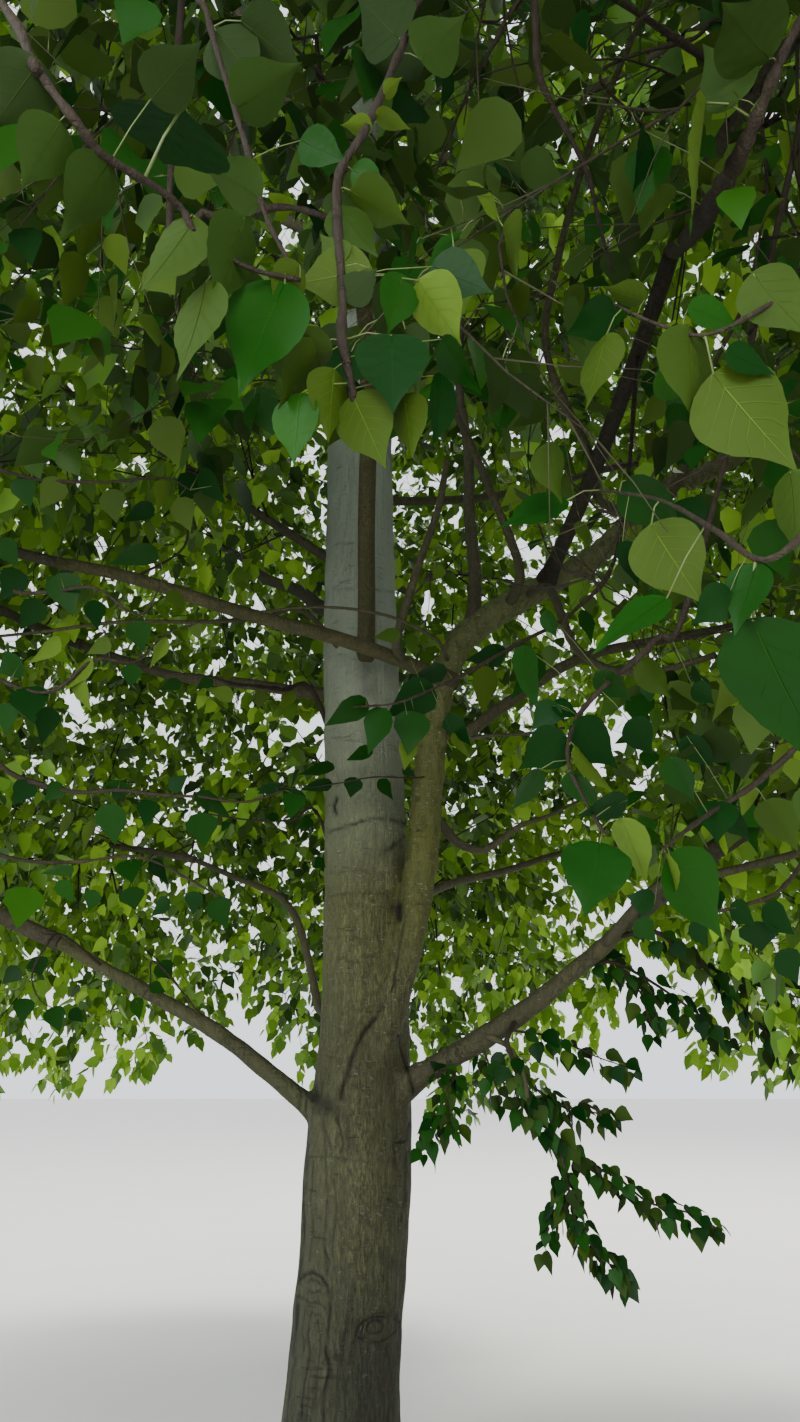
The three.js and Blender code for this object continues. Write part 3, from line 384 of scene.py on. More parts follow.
# Leaves as the photograph shows them: the pixels of the blade's base and tip, its width in pixels,
# the side that is seen (1 upper, -1 under) and its tint from dark to light
SEEN_LEAVES = {
    "left": [
        (182, 108, 160, 174, 128, 1, 0), (207, 280, 185, 386, 44, -1, 2),
        (245, 216, 212, 312, 54, -1, 1), (196, 216, 146, 297, 48, -1, 2),
        (300, 264, 268, 312, 38, -1, 3), (286, 282, 232, 393, 78, 1, 2), (60, 120, 20, 190, 60, -1, 1),
        (110, 160, 60, 240, 55, -1, 1), (40, 60, -10, 130, 70, -1, 0), (150, 100, 200, 40, 60, -1, 0)],
    "left_2": [
        (300, 140, 348, 162, 40, 1, 1), (215, 30, 262, 90, 60, -1, 0), (235, 110, 300, 60, 60, -1, 1),
        (262, 200, 200, 160, 50, -1, 1), (240, 20, 310, 72, 60, -1, 0)],
    "centre": [
        (372, 268, 292, 288, 62, -1, 3), (322, 345, 274, 408, 38, -1, 2), (300, 393, 292, 467, 46, 1, 3),
        (334, 368, 325, 444, 42, -1, 3), (352, 394, 388, 470, 62, -1, 3), (392, 334, 393, 420, 74, 1, 0),
        (402, 274, 390, 335, 42, 1, 2), (418, 279, 463, 346, 56, -1, 4), (441, 338, 481, 396, 30, 1, 1),
        (442, 374, 438, 450, 28, 1, 0), (431, 266, 494, 292, 50, 1, 0), (404, 394, 415, 460, 38, -1, 3),
        (372, 128, 340, 124, 22, -1, 4), (384, 96, 402, 76, 16, -1, 4), (375, 115, 412, 128, 20, -1, 4),
        (352, 170, 388, 186, 30, 1, 2), (350, 190, 412, 224, 48, -1, 2), (333, 350, 262, 352, 40, -1, 2),
        (420, 60, 470, 10, 60, -1, 1), (400, 40, 350, -10, 70, -1, 0), (338, 205, 376, 262, 42, -1, 1),
        (343, 262, 318, 232, 34, -1, 2), (344, 300, 378, 268, 36, -1, 0),
        (337, 190, 356, 240, 34, -1, 0)],
    "right_top": [
        (722, 230, 784, 197, 46, -1, 3), (712, 190, 757, 158, 34, -1, 3),
        (692, 243, 664, 204, 30, -1, 3), (706, 100, 688, 240, 12, -1, 4), (645, 130, 638, 194, 18, 1, 0),
        (662, 184, 642, 241, 28, -1, 2), (740, 100, 700, 40, 60, -1, 1), (770, 60, 720, 0, 80, -1, 1)],
    "right_high": [
        (689, 324, 692, 428, 54, -1, 2), (712, 373, 795, 474, 92, -1, 3),
        (752, 272, 806, 338, 62, -1, 2), (688, 306, 744, 330, 30, 1, 2), (725, 352, 778, 372, 28, 1, 0),
        (615, 308, 564, 336, 42, 1, 0), (645, 300, 602, 286, 26, -1, 3),
        (607, 333, 588, 414, 36, -1, 3)],
    "right_edge": [
        (752, 618, 824, 785, 100, 1, 1), (757, 563, 734, 636, 44, 1, 1), (731, 590, 692, 626, 40, 1, 0),
        (650, 524, 702, 607, 76, -1, 3), (625, 479, 684, 536, 48, 1, 1), (668, 598, 588, 648, 30, 1, 2),
        (622, 541, 641, 588, 24, 1, 0), (568, 500, 494, 526, 28, 1, 1), (790, 470, 800, 560, 50, -1, 2)],
    "right": [
        (523, 645, 533, 713, 26, 1, 1), (566, 735, 519, 771, 46, 1, 0), (558, 704, 530, 730, 28, 1, 0),
        (552, 705, 582, 717, 18, 1, 0), (571, 724, 622, 768, 44, 1, 0), (568, 772, 600, 812, 26, 1, 1),
        (628, 800, 577, 816, 26, 1, 0), (574, 745, 616, 800, 14, -1, 4), (540, 769, 511, 813, 22, 1, 1),
        (597, 672, 630, 704, 26, 1, 1), (600, 842, 587, 908, 70, 1, 1), (621, 818, 650, 883, 34, -1, 4),
        (628, 720, 655, 756, 32, 1, 0), (692, 686, 716, 704, 22, 1, 0), (546, 610, 556, 641, 16, 1, 1),
        (640, 660, 672, 700, 30, -1, 2)],
    "right_low": [
        (668, 854, 724, 939, 60, 1, 2), (718, 801, 717, 841, 40, 1, 0), (671, 756, 692, 806, 30, 1, 1),
        (686, 735, 715, 771, 28, 1, 0), (724, 810, 750, 841, 24, 1, 0), (665, 852, 676, 908, 14, -1, 4),
        (765, 800, 800, 850, 40, -1, 2), (655, 905, 628, 896, 26, 1, 0)],
    "dark_right": [
        (757, 921, 762, 958, 40, 1, 0), (730, 905, 757, 925, 24, 1, 0), (762, 908, 797, 934, 30, 1, 0),
        (692, 921, 709, 948, 22, 1, 0), (636, 920, 657, 942, 24, 1, 1), (780, 950, 800, 985, 30, 1, 0)],
    "crossing": [
        (366, 698, 327, 729, 27, 1, 1), (386, 708, 366, 754, 30, 1, 1), (433, 685, 387, 718, 40, 1, 0),
        (414, 711, 408, 754, 38, 1, 1), (412, 738, 402, 770, 20, -1, 4), (446, 667, 408, 681, 20, 1, 0),
        (506, 650, 466, 663, 24, 1, 0), (489, 667, 480, 714, 27, -1, 3), (448, 714, 471, 746, 22, 1, 0),
        (452, 733, 470, 761, 10, -1, 4), (540, 655, 512, 700, 26, 1, 1),
        (400, 632, 373, 640, 15, -1, 2)],
    "left_middle": [
        (59, 573, 73, 616, 36, 1, 1), (157, 548, 109, 566, 25, 1, 1), (136, 621, 143, 652, 26, 1, 1),
        (93, 600, 98, 630, 22, 1, 0), (20, 570, 2, 600, 30, 1, 0), (40, 600, 20, 630, 28, 1, 0),
        (170, 590, 185, 612, 16, -1, 2), (0, 540, 18, 566, 24, 1, 1)],
    "left_pale": [
        (27, 687, 34, 723, 38, 1, 0), (48, 707, 43, 746, 24, 1, 0), (9, 703, 5, 735, 22, 1, 1),
        (59, 637, 32, 666, 17, -1, 4), (91, 657, 68, 694, 14, -1, 4), (166, 637, 152, 670, 14, -1, 4),
        (132, 664, 130, 688, 21, 1, 1), (193, 623, 200, 640, 15, -1, 3), (110, 640, 88, 655, 18, -1, 3),
        (74, 680, 92, 712, 16, -1, 4), (22, 660, -8, 676, 30, 1, 1)],
    "left_upper": [
        (166, 480, 157, 513, 17, -1, 4), (177, 498, 191, 532, 27, -1, 3),
        (109, 489, 118, 524, 27, -1, 2), (152, 503, 124, 524, 20, 1, 0), (60, 478, 40, 510, 28, -1, 3),
        (20, 476, 30, 508, 26, 1, 1), (200, 470, 225, 505, 22, 1, 0), (240, 480, 250, 524, 14, 1, 0)],
    "knot_left": [
        (233, 699, 207, 687, 17, -1, 4), (295, 691, 275, 712, 12, -1, 4),
        (262, 690, 258, 710, 14, -1, 3), (212, 678, 196, 690, 13, 1, 1), (180, 680, 160, 690, 14, 1, 1),
        (222, 676, 240, 668, 12, -1, 3)],
    "left_near": [
        (111, 803, 114, 846, 31, 1, 1), (200, 812, 205, 850, 33, 1, 1), (150, 800, 145, 824, 24, 1, 0),
        (120, 780, 114, 805, 27, 1, 1), (195, 794, 232, 816, 19, 1, 1), (295, 794, 291, 816, 24, 1, 1),
        (275, 785, 258, 795, 12, 1, 0), (73, 812, 57, 839, 10, -1, 4), (95, 819, 80, 852, 11, -1, 4),
        (30, 780, 14, 806, 24, 1, 0), (62, 784, 46, 800, 20, 1, 1), (170, 790, 188, 774, 17, 1, 0)],
    "left_near_low": [
        (127, 860, 132, 882, 27, 1, 1), (150, 860, 169, 884, 15, 1, 0), (130, 887, 136, 913, 27, 1, 1),
        (195, 891, 193, 915, 19, 1, 0), (214, 898, 228, 929, 26, 1, 1), (27, 887, 18, 924, 39, 1, 4),
        (73, 866, 41, 874, 13, 1, 3), (95, 890, 88, 912, 18, 1, 1), (170, 900, 150, 916, 16, 1, 0),
        (60, 880, 72, 904, 18, 1, 2)],
    "left_bough": [
        (34, 957, 43, 977, 23, 1, 1), (25, 998, 22, 1020, 21, 1, 1), (52, 1007, 59, 1030, 22, 1, 1),
        (70, 1010, 84, 1022, 14, 1, 0), (20, 968, 4, 982, 18, 1, 0)],
    "left_bough_2": [
        (159, 962, 173, 981, 22, 1, 1), (134, 998, 141, 1020, 15, 1, 3), (150, 985, 166, 992, 13, 1, 1)],
    "trunk": [
        (373, 750, 346, 760, 15, 1, 1), (355, 777, 350, 799, 20, 1, 0), (378, 780, 395, 799, 14, 1, 1),
        (335, 768, 297, 772, 14, 1, 1), (302, 791, 284, 813, 22, 1, 0), (332, 782, 300, 790, 14, 1, 0),
        (283, 785, 256, 790, 13, 1, 0), (403, 768, 416, 777, 9, 1, 0)],
}

# Boughs that no leaf hides from the camera
CLEAR_BOUGHS = ["bough_front_right", "bough_front", "bough_left_front", "second_stem_upper", "bough_low_left",
                "bough_low_right"]

# Marks of the bark on the side seen: width in pixels, depth in metres, darkness, and their line
# The darkness is the own colour of knots, scars and rings, and painted shade in the creases where limbs join
# and along the fissures
BARK_MARKS = [
    (1.6, -0.012, 1.0, [(375, 1018), (364, 1033), (356, 1047), (350, 1066), (344, 1084), (340, 1099)]),
    (7.0, 0.010, 0.0, [(366, 1014), (352, 1036), (343, 1064), (334, 1092)]),
    (1.5, -0.012, 1.0, [(399, 1036), (402, 1051), (406, 1066), (410, 1080), (414, 1092)]),
    (6.0, 0.008, 0.0, [(408, 1030), (412, 1053), (418, 1075)]),
    (1.3, -0.006, 0.7, [(405, 914), (400, 940), (394, 985), (376, 1016)]),
    (8.0, -0.006, 0.75, [(316, 1097), (323, 1103), (330, 1108)]),
    (6.0, -0.002, 0.3, [(330, 1100), (344, 1116), (352, 1150)]),
    (1.2, -0.005, 0.8, [(333, 1104), (337, 1120), (342, 1142), (341, 1152)]),
    (1.0, -0.003, 0.6, [(324, 1112), (325, 1130), (330, 1146)]),
    (1.0, -0.002, 0.5, [(310, 1157), (328, 1156), (347, 1159)]),
    (1.5, -0.006, 0.85, [(414, 1090), (412, 1118), (407, 1128), (406, 1141), (396, 1142)]),
    (1.2, -0.004, 0.7, [(394, 1143), (397, 1157), (396, 1170)]),
    (1.3, -0.004, 0.6, [(406, 1150), (405, 1194), (400, 1222)]),
    (1.0, -0.003, 0.5, [(316, 1100), (322, 1116), (326, 1154), (327, 1194), (325, 1235), (327, 1276)]),
    (1.7, -0.007, 0.95, [(327, 1291), (330, 1310), (328, 1332), (325, 1351), (329, 1370), (325, 1391),
                         (324, 1422)]),
    (1.3, -0.005, 0.8, [(308, 1144), (303, 1200), (305, 1222), (300, 1260), (298, 1279)]),
    (1.6, -0.006, 0.85, [(297, 1305), (293, 1341), (295, 1362), (289, 1397), (286, 1422)]),
    (1.1, -0.004, 0.7, [(311, 1312), (306, 1335), (309, 1352), (304, 1385), (301, 1420)]),
    (1.0, -0.004, 0.6, [(304, 1308), (300, 1330), (302, 1350)]),
    (1.0, -0.003, 0.55, [(318, 1320), (320, 1345), (316, 1372), (317, 1405)]),
    (1.0, -0.003, 0.5, [(337, 1312), (335, 1345), (338, 1380), (336, 1420)]),
    (0.9, -0.002, 0.45, [(345, 1330), (342, 1360), (345, 1395)]),
    (1.0, -0.003, 0.5, [(334, 1180), (336, 1215), (333, 1250), (336, 1285)]),
    (1.3, -0.005, 0.8, [(326, 1252), (329, 1262), (327, 1272)]),
    (1.0, -0.003, 0.5, [(314, 1160), (311, 1195), (314, 1235), (309, 1262)]),
    (1.0, -0.003, 0.45, [(388, 1345), (391, 1380), (388, 1420)]),
    (1.1, -0.003, 0.9, [(388, 1198), (396, 1204)]),
    (1.5, -0.003, 0.8, [(383, 1276), (383, 1279)]),
    (1.4, -0.002, 0.6, [(374, 1292), (374, 1295)]),
    (1.3, -0.003, 0.95, [(329, 833), (345, 826), (363, 821), (385, 818), (399, 822)]),
    (2.2, 0.008, 1.0, [(390, 820), (403, 824)]),
    (4.4, -0.008, 1.0, [(394, 908), (400, 906), (398, 917)]),
    (10.0, -0.002, 0.4, [(393, 905), (400, 915)]),
    (3.0, -0.004, 0.85, [(388, 850), (395, 844), (400, 847)]),
    (9.0, -0.001, 0.35, [(386, 854), (402, 862)]),
    (1.3, -0.002, 0.75, [(386, 852), (394, 845), (407, 835)]),
    (1.7, -0.004, 1.0, [(335, 797), (333, 805), (337, 814)]),
    (1.8, -0.002, 0.7, [(354, 936), (358, 937)]),
    (1.5, -0.002, 0.65, [(347, 961), (357, 962)]),
    (1.0, -0.0015, 0.4, [(331, 895), (352, 892), (384, 894)]),
    (0.9, -0.0015, 0.35, [(330, 873), (360, 870), (388, 873)]),
    (0.9, -0.0015, 0.35, [(328, 938), (345, 936), (372, 940)]),
    (0.9, -0.0015, 0.3, [(326, 985), (350, 981), (370, 984)]),
    (1.0, -0.002, 0.5, [(325, 1055), (345, 1060)]),
    (1.3, -0.006, 1.0, [(355, 1336), (358, 1326), (366, 1319), (376, 1316), (388, 1317), (400, 1322)]),
    (1.1, -0.004, 0.8, [(356, 1337), (366, 1342), (380, 1343), (391, 1337), (400, 1327)]),
    (0.9, -0.003, 0.7, [(360, 1332), (364, 1322), (372, 1313), (384, 1312), (394, 1318)]),
    (1.2, -0.005, 1.0, [(366, 1329), (368, 1322), (375, 1319), (382, 1321), (384, 1327), (380, 1332),
                        (373, 1334), (368, 1333), (366, 1329)]),
    (0.8, -0.003, 0.7, [(375, 1321), (375, 1333)]),
    (5.0, 0.006, 0.0, [(371, 1327), (379, 1327)]),
    (1.7, -0.006, 0.9, [(297, 1281), (303, 1275), (312, 1273), (321, 1278), (327, 1287), (330, 1298)]),
    (1.0, -0.003, 0.7, [(304, 1283), (309, 1280), (317, 1281), (321, 1286)]),
    (1.0, -0.003, 0.6, [(305, 1290), (311, 1293), (319, 1291)]),
    (1.1, -0.003, 0.6, [(299, 1296), (308, 1303), (318, 1302), (326, 1308)]),
    (4.0, 0.006, 0.0, [(311, 1286), (315, 1286)]),
    (1.2, -0.002, 0.5, [(350, 640), (372, 636), (392, 642)]),
    (9.0, 0.014, 0.45, [(364, 668), (368, 690)]),
    (1.0, -0.002, 0.4, [(334, 590), (360, 586), (392, 592)]),
    (1.0, -0.002, 0.4, [(336, 545), (352, 543)]),
]

BOUGHS = [
    dict(name="second_stem_lower", on="trunk", height=1.15, tip=(0.49, -0.15, 3.5),
         bend=(0.035, -0.085, 0), thick=0.092, thin=0.068, shown_thick=0.076, shown_thin=0.064,
         seen=[(381, 1045, 4.25), (392, 1000, 4.3), (404, 955, 4.36), (415, 905, 4.42), (423, 850, 4.5),
               (427, 800, 4.57), (430, 760, 4.63), (435, 715, 4.7), (444, 675, 4.77)]),
    dict(name="second_stem_upper", on="second_stem_lower", tip=(1.98, 0, 4.62),
         bend=(0, -0.02, 0.02), thick=0.066, thin=0.044),
    dict(name="bough_low_left", on="trunk", height=1.31, tip=(-1.29, 0, 2.13),
         bend=(0, 0, 0.065), thick=0.055, thin=0.04, shown_thick=0.042, shown_thin=0.029,
         seen=[(292, 1092, 4.27), (262, 1067, 4.3), (231, 1042, 4.35), (192, 1017, 4.4), (154, 996, 4.44),
               (120, 977, 4.47), (90, 960, 4.5)]),
    dict(name="bough_low_right", on="trunk", height=1.43, tip=(1.13, -0.6, 2.18),
         bend=(0, 0, -0.05), thick=0.06, thin=0.046, shown_thick=0.051, shown_thin=0.032,
         seen=[(433, 1068, 4.2), (467, 1048, 4.17), (500, 1028, 4.14), (533, 1005, 4.1), (567, 977, 4.06),
               (600, 949, 4.02), (622, 928, 3.99)]),
    dict(name="bough_hanging_right", on="bough_low_right", share=0.55, tip=(0.7, -0.39, 1.5),
         bend=(0.04, 0, 0.04), thick=0.015, thin=0.012, shown_thick=0.01, shown_thin=0.008),
    dict(name="bough_low_back_left", on="trunk", height=1.72, tip=(-0.955, 1.2, 2.73),
         bend=(0.23, 0.06, 0.15), thick=0.036, thin=0.022, shown_thick=0.021, shown_thin=0.014,
         seen=[(322, 1012, 4.7), (314, 985, 4.8), (306, 950, 4.9), (296, 918, 5.0), (281, 898, 5.15),
               (262, 888, 5.3), (232, 876, 5.55)]),
    dict(name="bough_low_back", on="trunk", height=1.98, tip=(0.33, 1.5, 2.56),
         bend=(0.06, 0, 0.04), thick=0.038, thin=0.025, shown_thick=0.026, shown_thin=0.018),
    dict(name="bough_low_back_right", on="trunk", height=2.16, tip=(1.23, 0.96, 2.74),
         bend=(-0.06, 0.04, 0.06), thick=0.04, thin=0.026, shown_thick=0.023, shown_thin=0.016),
    dict(name="bough_left_front", on="second_stem_lower", share=0.93, tip=(-1.26, -0.64, 3.66),
         bend=(0, -0.19, -0.03), thick=0.034, thin=0.025),
    dict(name="bough_front", on="trunk", height=3.25, tip=(0.06, -1.5, 4.56),
         bend=(0.03, 0.06, 0.06), thick=0.034, thin=0.022, shown_thick=0.042, shown_thin=0.032),
    dict(name="bough_front_right", on="second_stem_upper", share=0.27, tip=(1.11, -1.9, 4.15),
         bend=(0.04, 0, 0.04), thick=0.036, thin=0.028),
    dict(name="bough_upright", on="second_stem_upper", share=0.04, tip=(0.54, 0.04, 4.92),
         bend=(0.03, 0, 0), thick=0.034, thin=0.024),
    dict(name="bough_right_front", on="second_stem_upper", share=0.72, tip=(2.25, -1.15, 4.7),
         bend=(0, -0.06, 0.05), thick=0.034, thin=0.024),
    dict(name="bough_left", on="trunk", height=3.29, tip=(-1.5, 0.5, 3.76),
         bend=(0, 0.04, -0.06), thick=0.045, thin=0.03, shown_thick=0.03, shown_thin=0.022),
    dict(name="bough_back_left", on="trunk", height=3.7, tip=(-0.8, 1.56, 4.8),
         bend=(0, 0, -0.06), thick=0.044, thin=0.029),
    dict(name="bough_back", on="trunk", height=3.95, tip=(0.43, 1.72, 4.78),
         bend=(0, 0, -0.06), thick=0.042, thin=0.028),
    dict(name="bough_back_right", on="trunk", height=4.35, tip=(1.42, 1.18, 5.25),
         bend=(0, 0, -0.08), thick=0.042, thin=0.028, shown_thick=0.025, shown_thin=0.02),
]

MASSES = [
    dict(name="foliage_low_left", on="bough_low_left", middle=(-2.9, -0.25, 2.85), radius=1.6),
    dict(name="foliage_low_right", on="bough_low_right", middle=(2.45, -1.4, 2.75), radius=1.6),
    dict(name="foliage_hanging_right", on="bough_hanging_right", middle=(1.01, -0.43, 1.27),
         radius=0.6, droop=True),
    dict(name="foliage_at_fork", on="trunk", height=1.59, middle=(0.35, -0.12, 1.33),
         radius=0.29, droop=True),
    dict(name="foliage_low_back_left", on="bough_low_back_left", middle=(-2.05, 2.4, 3.05),
         radius=1.65),
    dict(name="foliage_low_back", on="bough_low_back", middle=(0.45, 3.05, 2.9), radius=1.65),
    dict(name="foliage_low_back_right", on="bough_low_back_right", middle=(2.8, 1.35, 2.95),
         radius=1.6),
    dict(name="foliage_left_front", on="bough_left_front", middle=(-2.35, -2.2, 4.05),
         radius=1.75),
    dict(name="foliage_front", on="bough_front", middle=(-0.15, -3.05, 4.45), radius=1.65),
    dict(name="foliage_front_right", on="bough_front_right", middle=(1.35, -3.1, 3.55),
         radius=1.65),
    dict(name="foliage_upright", on="bough_upright", middle=(0.85, 0.35, 6.1), radius=1.4),
    dict(name="foliage_right", on="second_stem_upper", middle=(3.3, 0.1, 5.2), radius=1.7),
    dict(name="foliage_right_front", on="bough_right_front", middle=(3.05, -2.3, 5.25),
         radius=1.75),
    dict(name="foliage_left", on="bough_left", middle=(-3.2, 0.85, 4.95), radius=1.7),
    dict(name="foliage_back_left", on="bough_back_left", middle=(-1.55, 3, 5.65), radius=1.75),
    dict(name="foliage_back", on="bough_back", middle=(0.9, 3.35, 5.55), radius=1.7),
    dict(name="foliage_back_right", on="bough_back_right", middle=(2.9, 2.35, 6), radius=1.7),
    dict(name="foliage_inner_back", on="trunk", height=2.7, middle=(0.05, 1.35, 3.5),
         radius=1.15),
    dict(name="foliage_inner_left", on="trunk", height=3.9, middle=(-1.25, -0.1, 4.75),
         radius=1.2),
    dict(name="foliage_top", on="trunk_tip", middle=(0.04, -0.03, 12.95), radius=1.85),
]

UPPER_RING = dict(count=6, start=53, out=2.85, height=8.15, radius=1.85, leave=5.6, step=0.16,
                  bough_out=1.3, bough_height=6.95, bend=(0, 0, -0.06), thick=0.04, thin=0.027)
HIGH_RING = dict(count=4, start=10, out=1.9, height=10.9, radius=1.75, leave=9.0, step=0.18)

# The masses whose foliage goes into one set of pieces
GROUPS = {
    "low": ["low_left", "low_right", "hanging_right", "at_fork", "low_back_left", "low_back",
            "low_back_right"],
    "front": ["left_front", "front", "front_right", "right_front"],
    "middle": ["upright", "right", "left", "inner_back", "inner_left"],
    "back": ["back_left", "back", "back_right"],
    "upper_left": ["upper_1", "upper_2", "upper_3"],
    "upper_right": ["upper_4", "upper_5", "upper_6"],
    "high": ["high_1", "high_2", "high_3", "high_4", "top"],
}


# Numbers and vectors

def random_from(seed):
    """Seeded numbers from 0 to 1, the same ones as the model's source draws."""
    state = seed & MASK

    def draw():
        nonlocal state
        state = (state + 0x6D2B79F5) & MASK
        mixed = ((state ^ (state >> 15)) * (state | 1)) & MASK
        mixed ^= (mixed + (mixed ^ (mixed >> 7)) * (mixed | 61)) & MASK
        return ((mixed ^ (mixed >> 14)) & MASK) / 4294967296

    return draw


def unit(vectors):
    return vectors / np.linalg.norm(vectors, axis=-1, keepdims=True)


def rising(values, start, span):
    """0 up to start, rising to 1 over a span."""
    return np.clip((values - start) / span, 0, 1)


def dot(first, second):
    return np.sum(first * second, axis=-1, keepdims=True)


def leaning(direction, turn, lean):
    """Directions that lean away from others by lean, turned round them by turn."""
    level = np.where(np.abs(direction[..., 2:]) > ALIGNED, np.array([1.0, 0.0, 0.0]), UP)
    side = unit(np.cross(direction, level))
    other = np.cross(side, direction)
    turn = np.asarray(turn)[..., None]
    lean = np.asarray(lean)[..., None]
    return (direction * np.cos(lean) + side * np.sin(lean) * np.cos(turn)
            + other * np.sin(lean) * np.sin(turn))


def point_along(points, share):
    place = share * (len(points) - 1)
    index = min(int(place), len(points) - 2)
    return points[index] + (points[index + 1] - points[index]) * (place - index)


def direction_along(points, share):
    index = min(int(share * (len(points) - 1)), len(points) - 2)
    return unit(points[index + 1] - points[index])


def round_trunk(out, angle, height):
    return out * math.cos(math.radians(angle)), out * math.sin(math.radians(angle)), height


# The photograph's view

def seen_at(across, down, depth):
    """The place seen at a pixel of the photograph, at a depth from the camera."""
    right = (across - PHOTO_WIDTH / 2) / PIXELS * depth
    rise = (PHOTO_HEIGHT / 2 - down) / PIXELS * depth
    ahead = np.array([0, math.cos(CAMERA_PITCH), math.sin(CAMERA_PITCH)])
    upward = np.array([0, -math.sin(CAMERA_PITCH), math.cos(CAMERA_PITCH)])
    return CAMERA + np.array([right, 0, 0]) + ahead * depth + upward * rise


def pixels_of(points):
    """The pixels that points are seen at, and their depth."""
    away = points - CAMERA
    depth = away[:, 1] * math.cos(CAMERA_PITCH) + away[:, 2] * math.sin(CAMERA_PITCH)
    rise = away[:, 2] * math.cos(CAMERA_PITCH) - away[:, 1] * math.sin(CAMERA_PITCH)
    across = PHOTO_WIDTH / 2 + PIXELS * away[:, 0] / depth
    return np.stack([across, PHOTO_HEIGHT / 2 - PIXELS * rise / depth], axis=1), depth


def curve_through(points):
    """A smooth line through points, with a few pieces between each two."""
    ends = np.concatenate([2 * points[:1] - points[1:2], points, 2 * points[-1:] - points[-2:-1]])
    share = np.arange(CURVE_STEPS)[:, None] / CURVE_STEPS
    line = []
    for before, start, end, after in zip(ends, ends[1:], ends[2:], ends[3:]):
        cubic = 3 * (start - end) + after - before
        line.append(start + 0.5 * share * (end - before + share * (
            2 * before - 5 * start + 4 * end - after + share * cubic)))
    return np.concatenate(line + [points[-1:]])


# Limbs, as in the model's source

def trunk_radius(height):
    taper = (1 - height / TRUNK_TAPER_HEIGHT) ** TRUNK_TAPER_POWER
    fork = (height - FORK_HEIGHT) / FORK_SWELLING_LENGTH
    return (TRUNK_RADIUS * taper + ROOT_FLARE * np.exp(-height / ROOT_FLARE_HEIGHT)
            + FORK_SWELLING * np.exp(-fork * fork))


def trunk_bulge(height):
    place = (height - TRUNK_BULGE_HEIGHT) / TRUNK_BULGE_LENGTH
    return TRUNK_BULGE * np.exp(-place * place)


def trunk_middle(height):
    height = np.asarray(height, float)
    share = height / TRUNK_TAPER_HEIGHT
    drift = TRUNK_WANDER * share * share
    across = trunk_bulge(height) - trunk_bulge(0) + drift * np.sin(share * TRUNK_WANDER_X)
    return np.stack([across, -drift * np.sin(share * TRUNK_WANDER_Y), height], axis=-1)


def bent_line(start, tip, bend, seed, shares):
    """The straight line from start to tip, bent in its middle, with a waver to both sides."""
    random = random_from(seed)
    phase = random() * CROOK_PHASES
    waver = np.array([random() - 0.5, random() - 0.5, random() - 0.5])
    waver *= CROOK * 2 * np.linalg.norm(tip - start)
    share = np.asarray(shares, float)[:, None]
    return (start + (tip - start) * share + bend * 4 * share * (1 - share)
            + waver * np.sin(share * np.pi) * np.sin(share * CROOK_TURNS + phase))


def limb_start(row, limbs):
    """Where a limb starts, how deep it is buried there, and its direction if it goes on a tip."""
    if row["on"] == "trunk":
        return trunk_middle(row["height"]), float(trunk_radius(row["height"])), None
    parent = limbs[row["on"]]
    if "share" not in row:
        tangent = parent["tangent"]
        return parent["points"][-1] + tangent * GAP, 0.0, tangent
    place = row["share"] * (len(parent["points"]) - 1)
    return point_along(parent["points"], row["share"]), parent["radii"][int(place)], None


def ring_shares(length, buried, thick):
    shares = [0.0]
    if buried > 0:
        shares += [buried / length, (buried + COLLAR_LENGTH * thick) / length]
    first = shares[-1]
    return shares + [first + (1 - first) * step / BOUGH_STEPS
                     for step in range(1, BOUGH_STEPS + 1)]


def limb_radii(shares, length, buried, row):
    share = np.asarray(shares, float)
    beyond = np.maximum(share * length - buried, 0)
    collar = COLLAR * row["thick"] * np.exp(-beyond / row["thick"]) if buried > 0 else 0
    return row["thick"] + (row["thin"] - row["thick"]) * share + collar


def grow_limb(row, seed, limbs):
    """A limb's line as the source draws it, and a finer one for its bark."""
    start, buried, tangent = limb_start(row, limbs)
    tip = np.array(row["tip"], float)
    length = float(np.linalg.norm(tip - start))
    shares = ring_shares(length, buried, row["thick"])
    fine = np.linspace(0, 1, max(int(length / BARK_RING_SPACING), FEWEST_BARK_RINGS))
    bend = np.array(row["bend"], float)
    points = bent_line(start, tip, bend, seed, shares)
    if "seen" in row:
        places = [start] + [seen_at(*place) for place in row["seen"]] + [tip]
        line = resampled(curve_through(np.array(places)), len(fine))
    else:
        line = bent_line(start, tip, bend, seed, fine)
    look = dict(thick=row.get("shown_thick", row["thick"]), thin=row.get("shown_thin", row["thin"]))
    return {
        "points": points,
        "radii": limb_radii(shares, length, buried, row),
        "tangent": unit(points[-1] - points[-2]),
        "line": line,
        "line_radii": limb_radii(fine, length, buried, look),
    }


def in_ring(ring, index):
    """Where a ring's mass is, seen from above in degrees, and how high its limb leaves the trunk."""
    return ring["start"] + 360 * index / ring["count"], ring["leave"] + ring["step"] * index


def ring_rows():
    """The boughs and masses in rings round the upper trunk."""
    boughs, masses = [], []
    upper, high = UPPER_RING, HIGH_RING
    for index in range(upper["count"]):
        angle, height = in_ring(upper, index)
        bough = f"bough_upper_{index + 1}"
        tip = round_trunk(upper["bough_out"], angle, upper["bough_height"])
        boughs.append(dict(name=bough, on="trunk", height=height, tip=tip, bend=upper["bend"],
                           thick=upper["thick"], thin=upper["thin"]))
        middle = round_trunk(upper["out"], angle, upper["height"])
        masses.append(dict(name=f"foliage_upper_{index + 1}", on=bough, middle=middle,
                           radius=upper["radius"]))
    for index in range(high["count"]):
        angle, height = in_ring(high, index)
        middle = round_trunk(high["out"], angle, high["height"])
        masses.append(dict(name=f"foliage_high_{index + 1}", on="trunk", height=height,
                           middle=middle, radius=high["radius"]))
    return boughs, masses


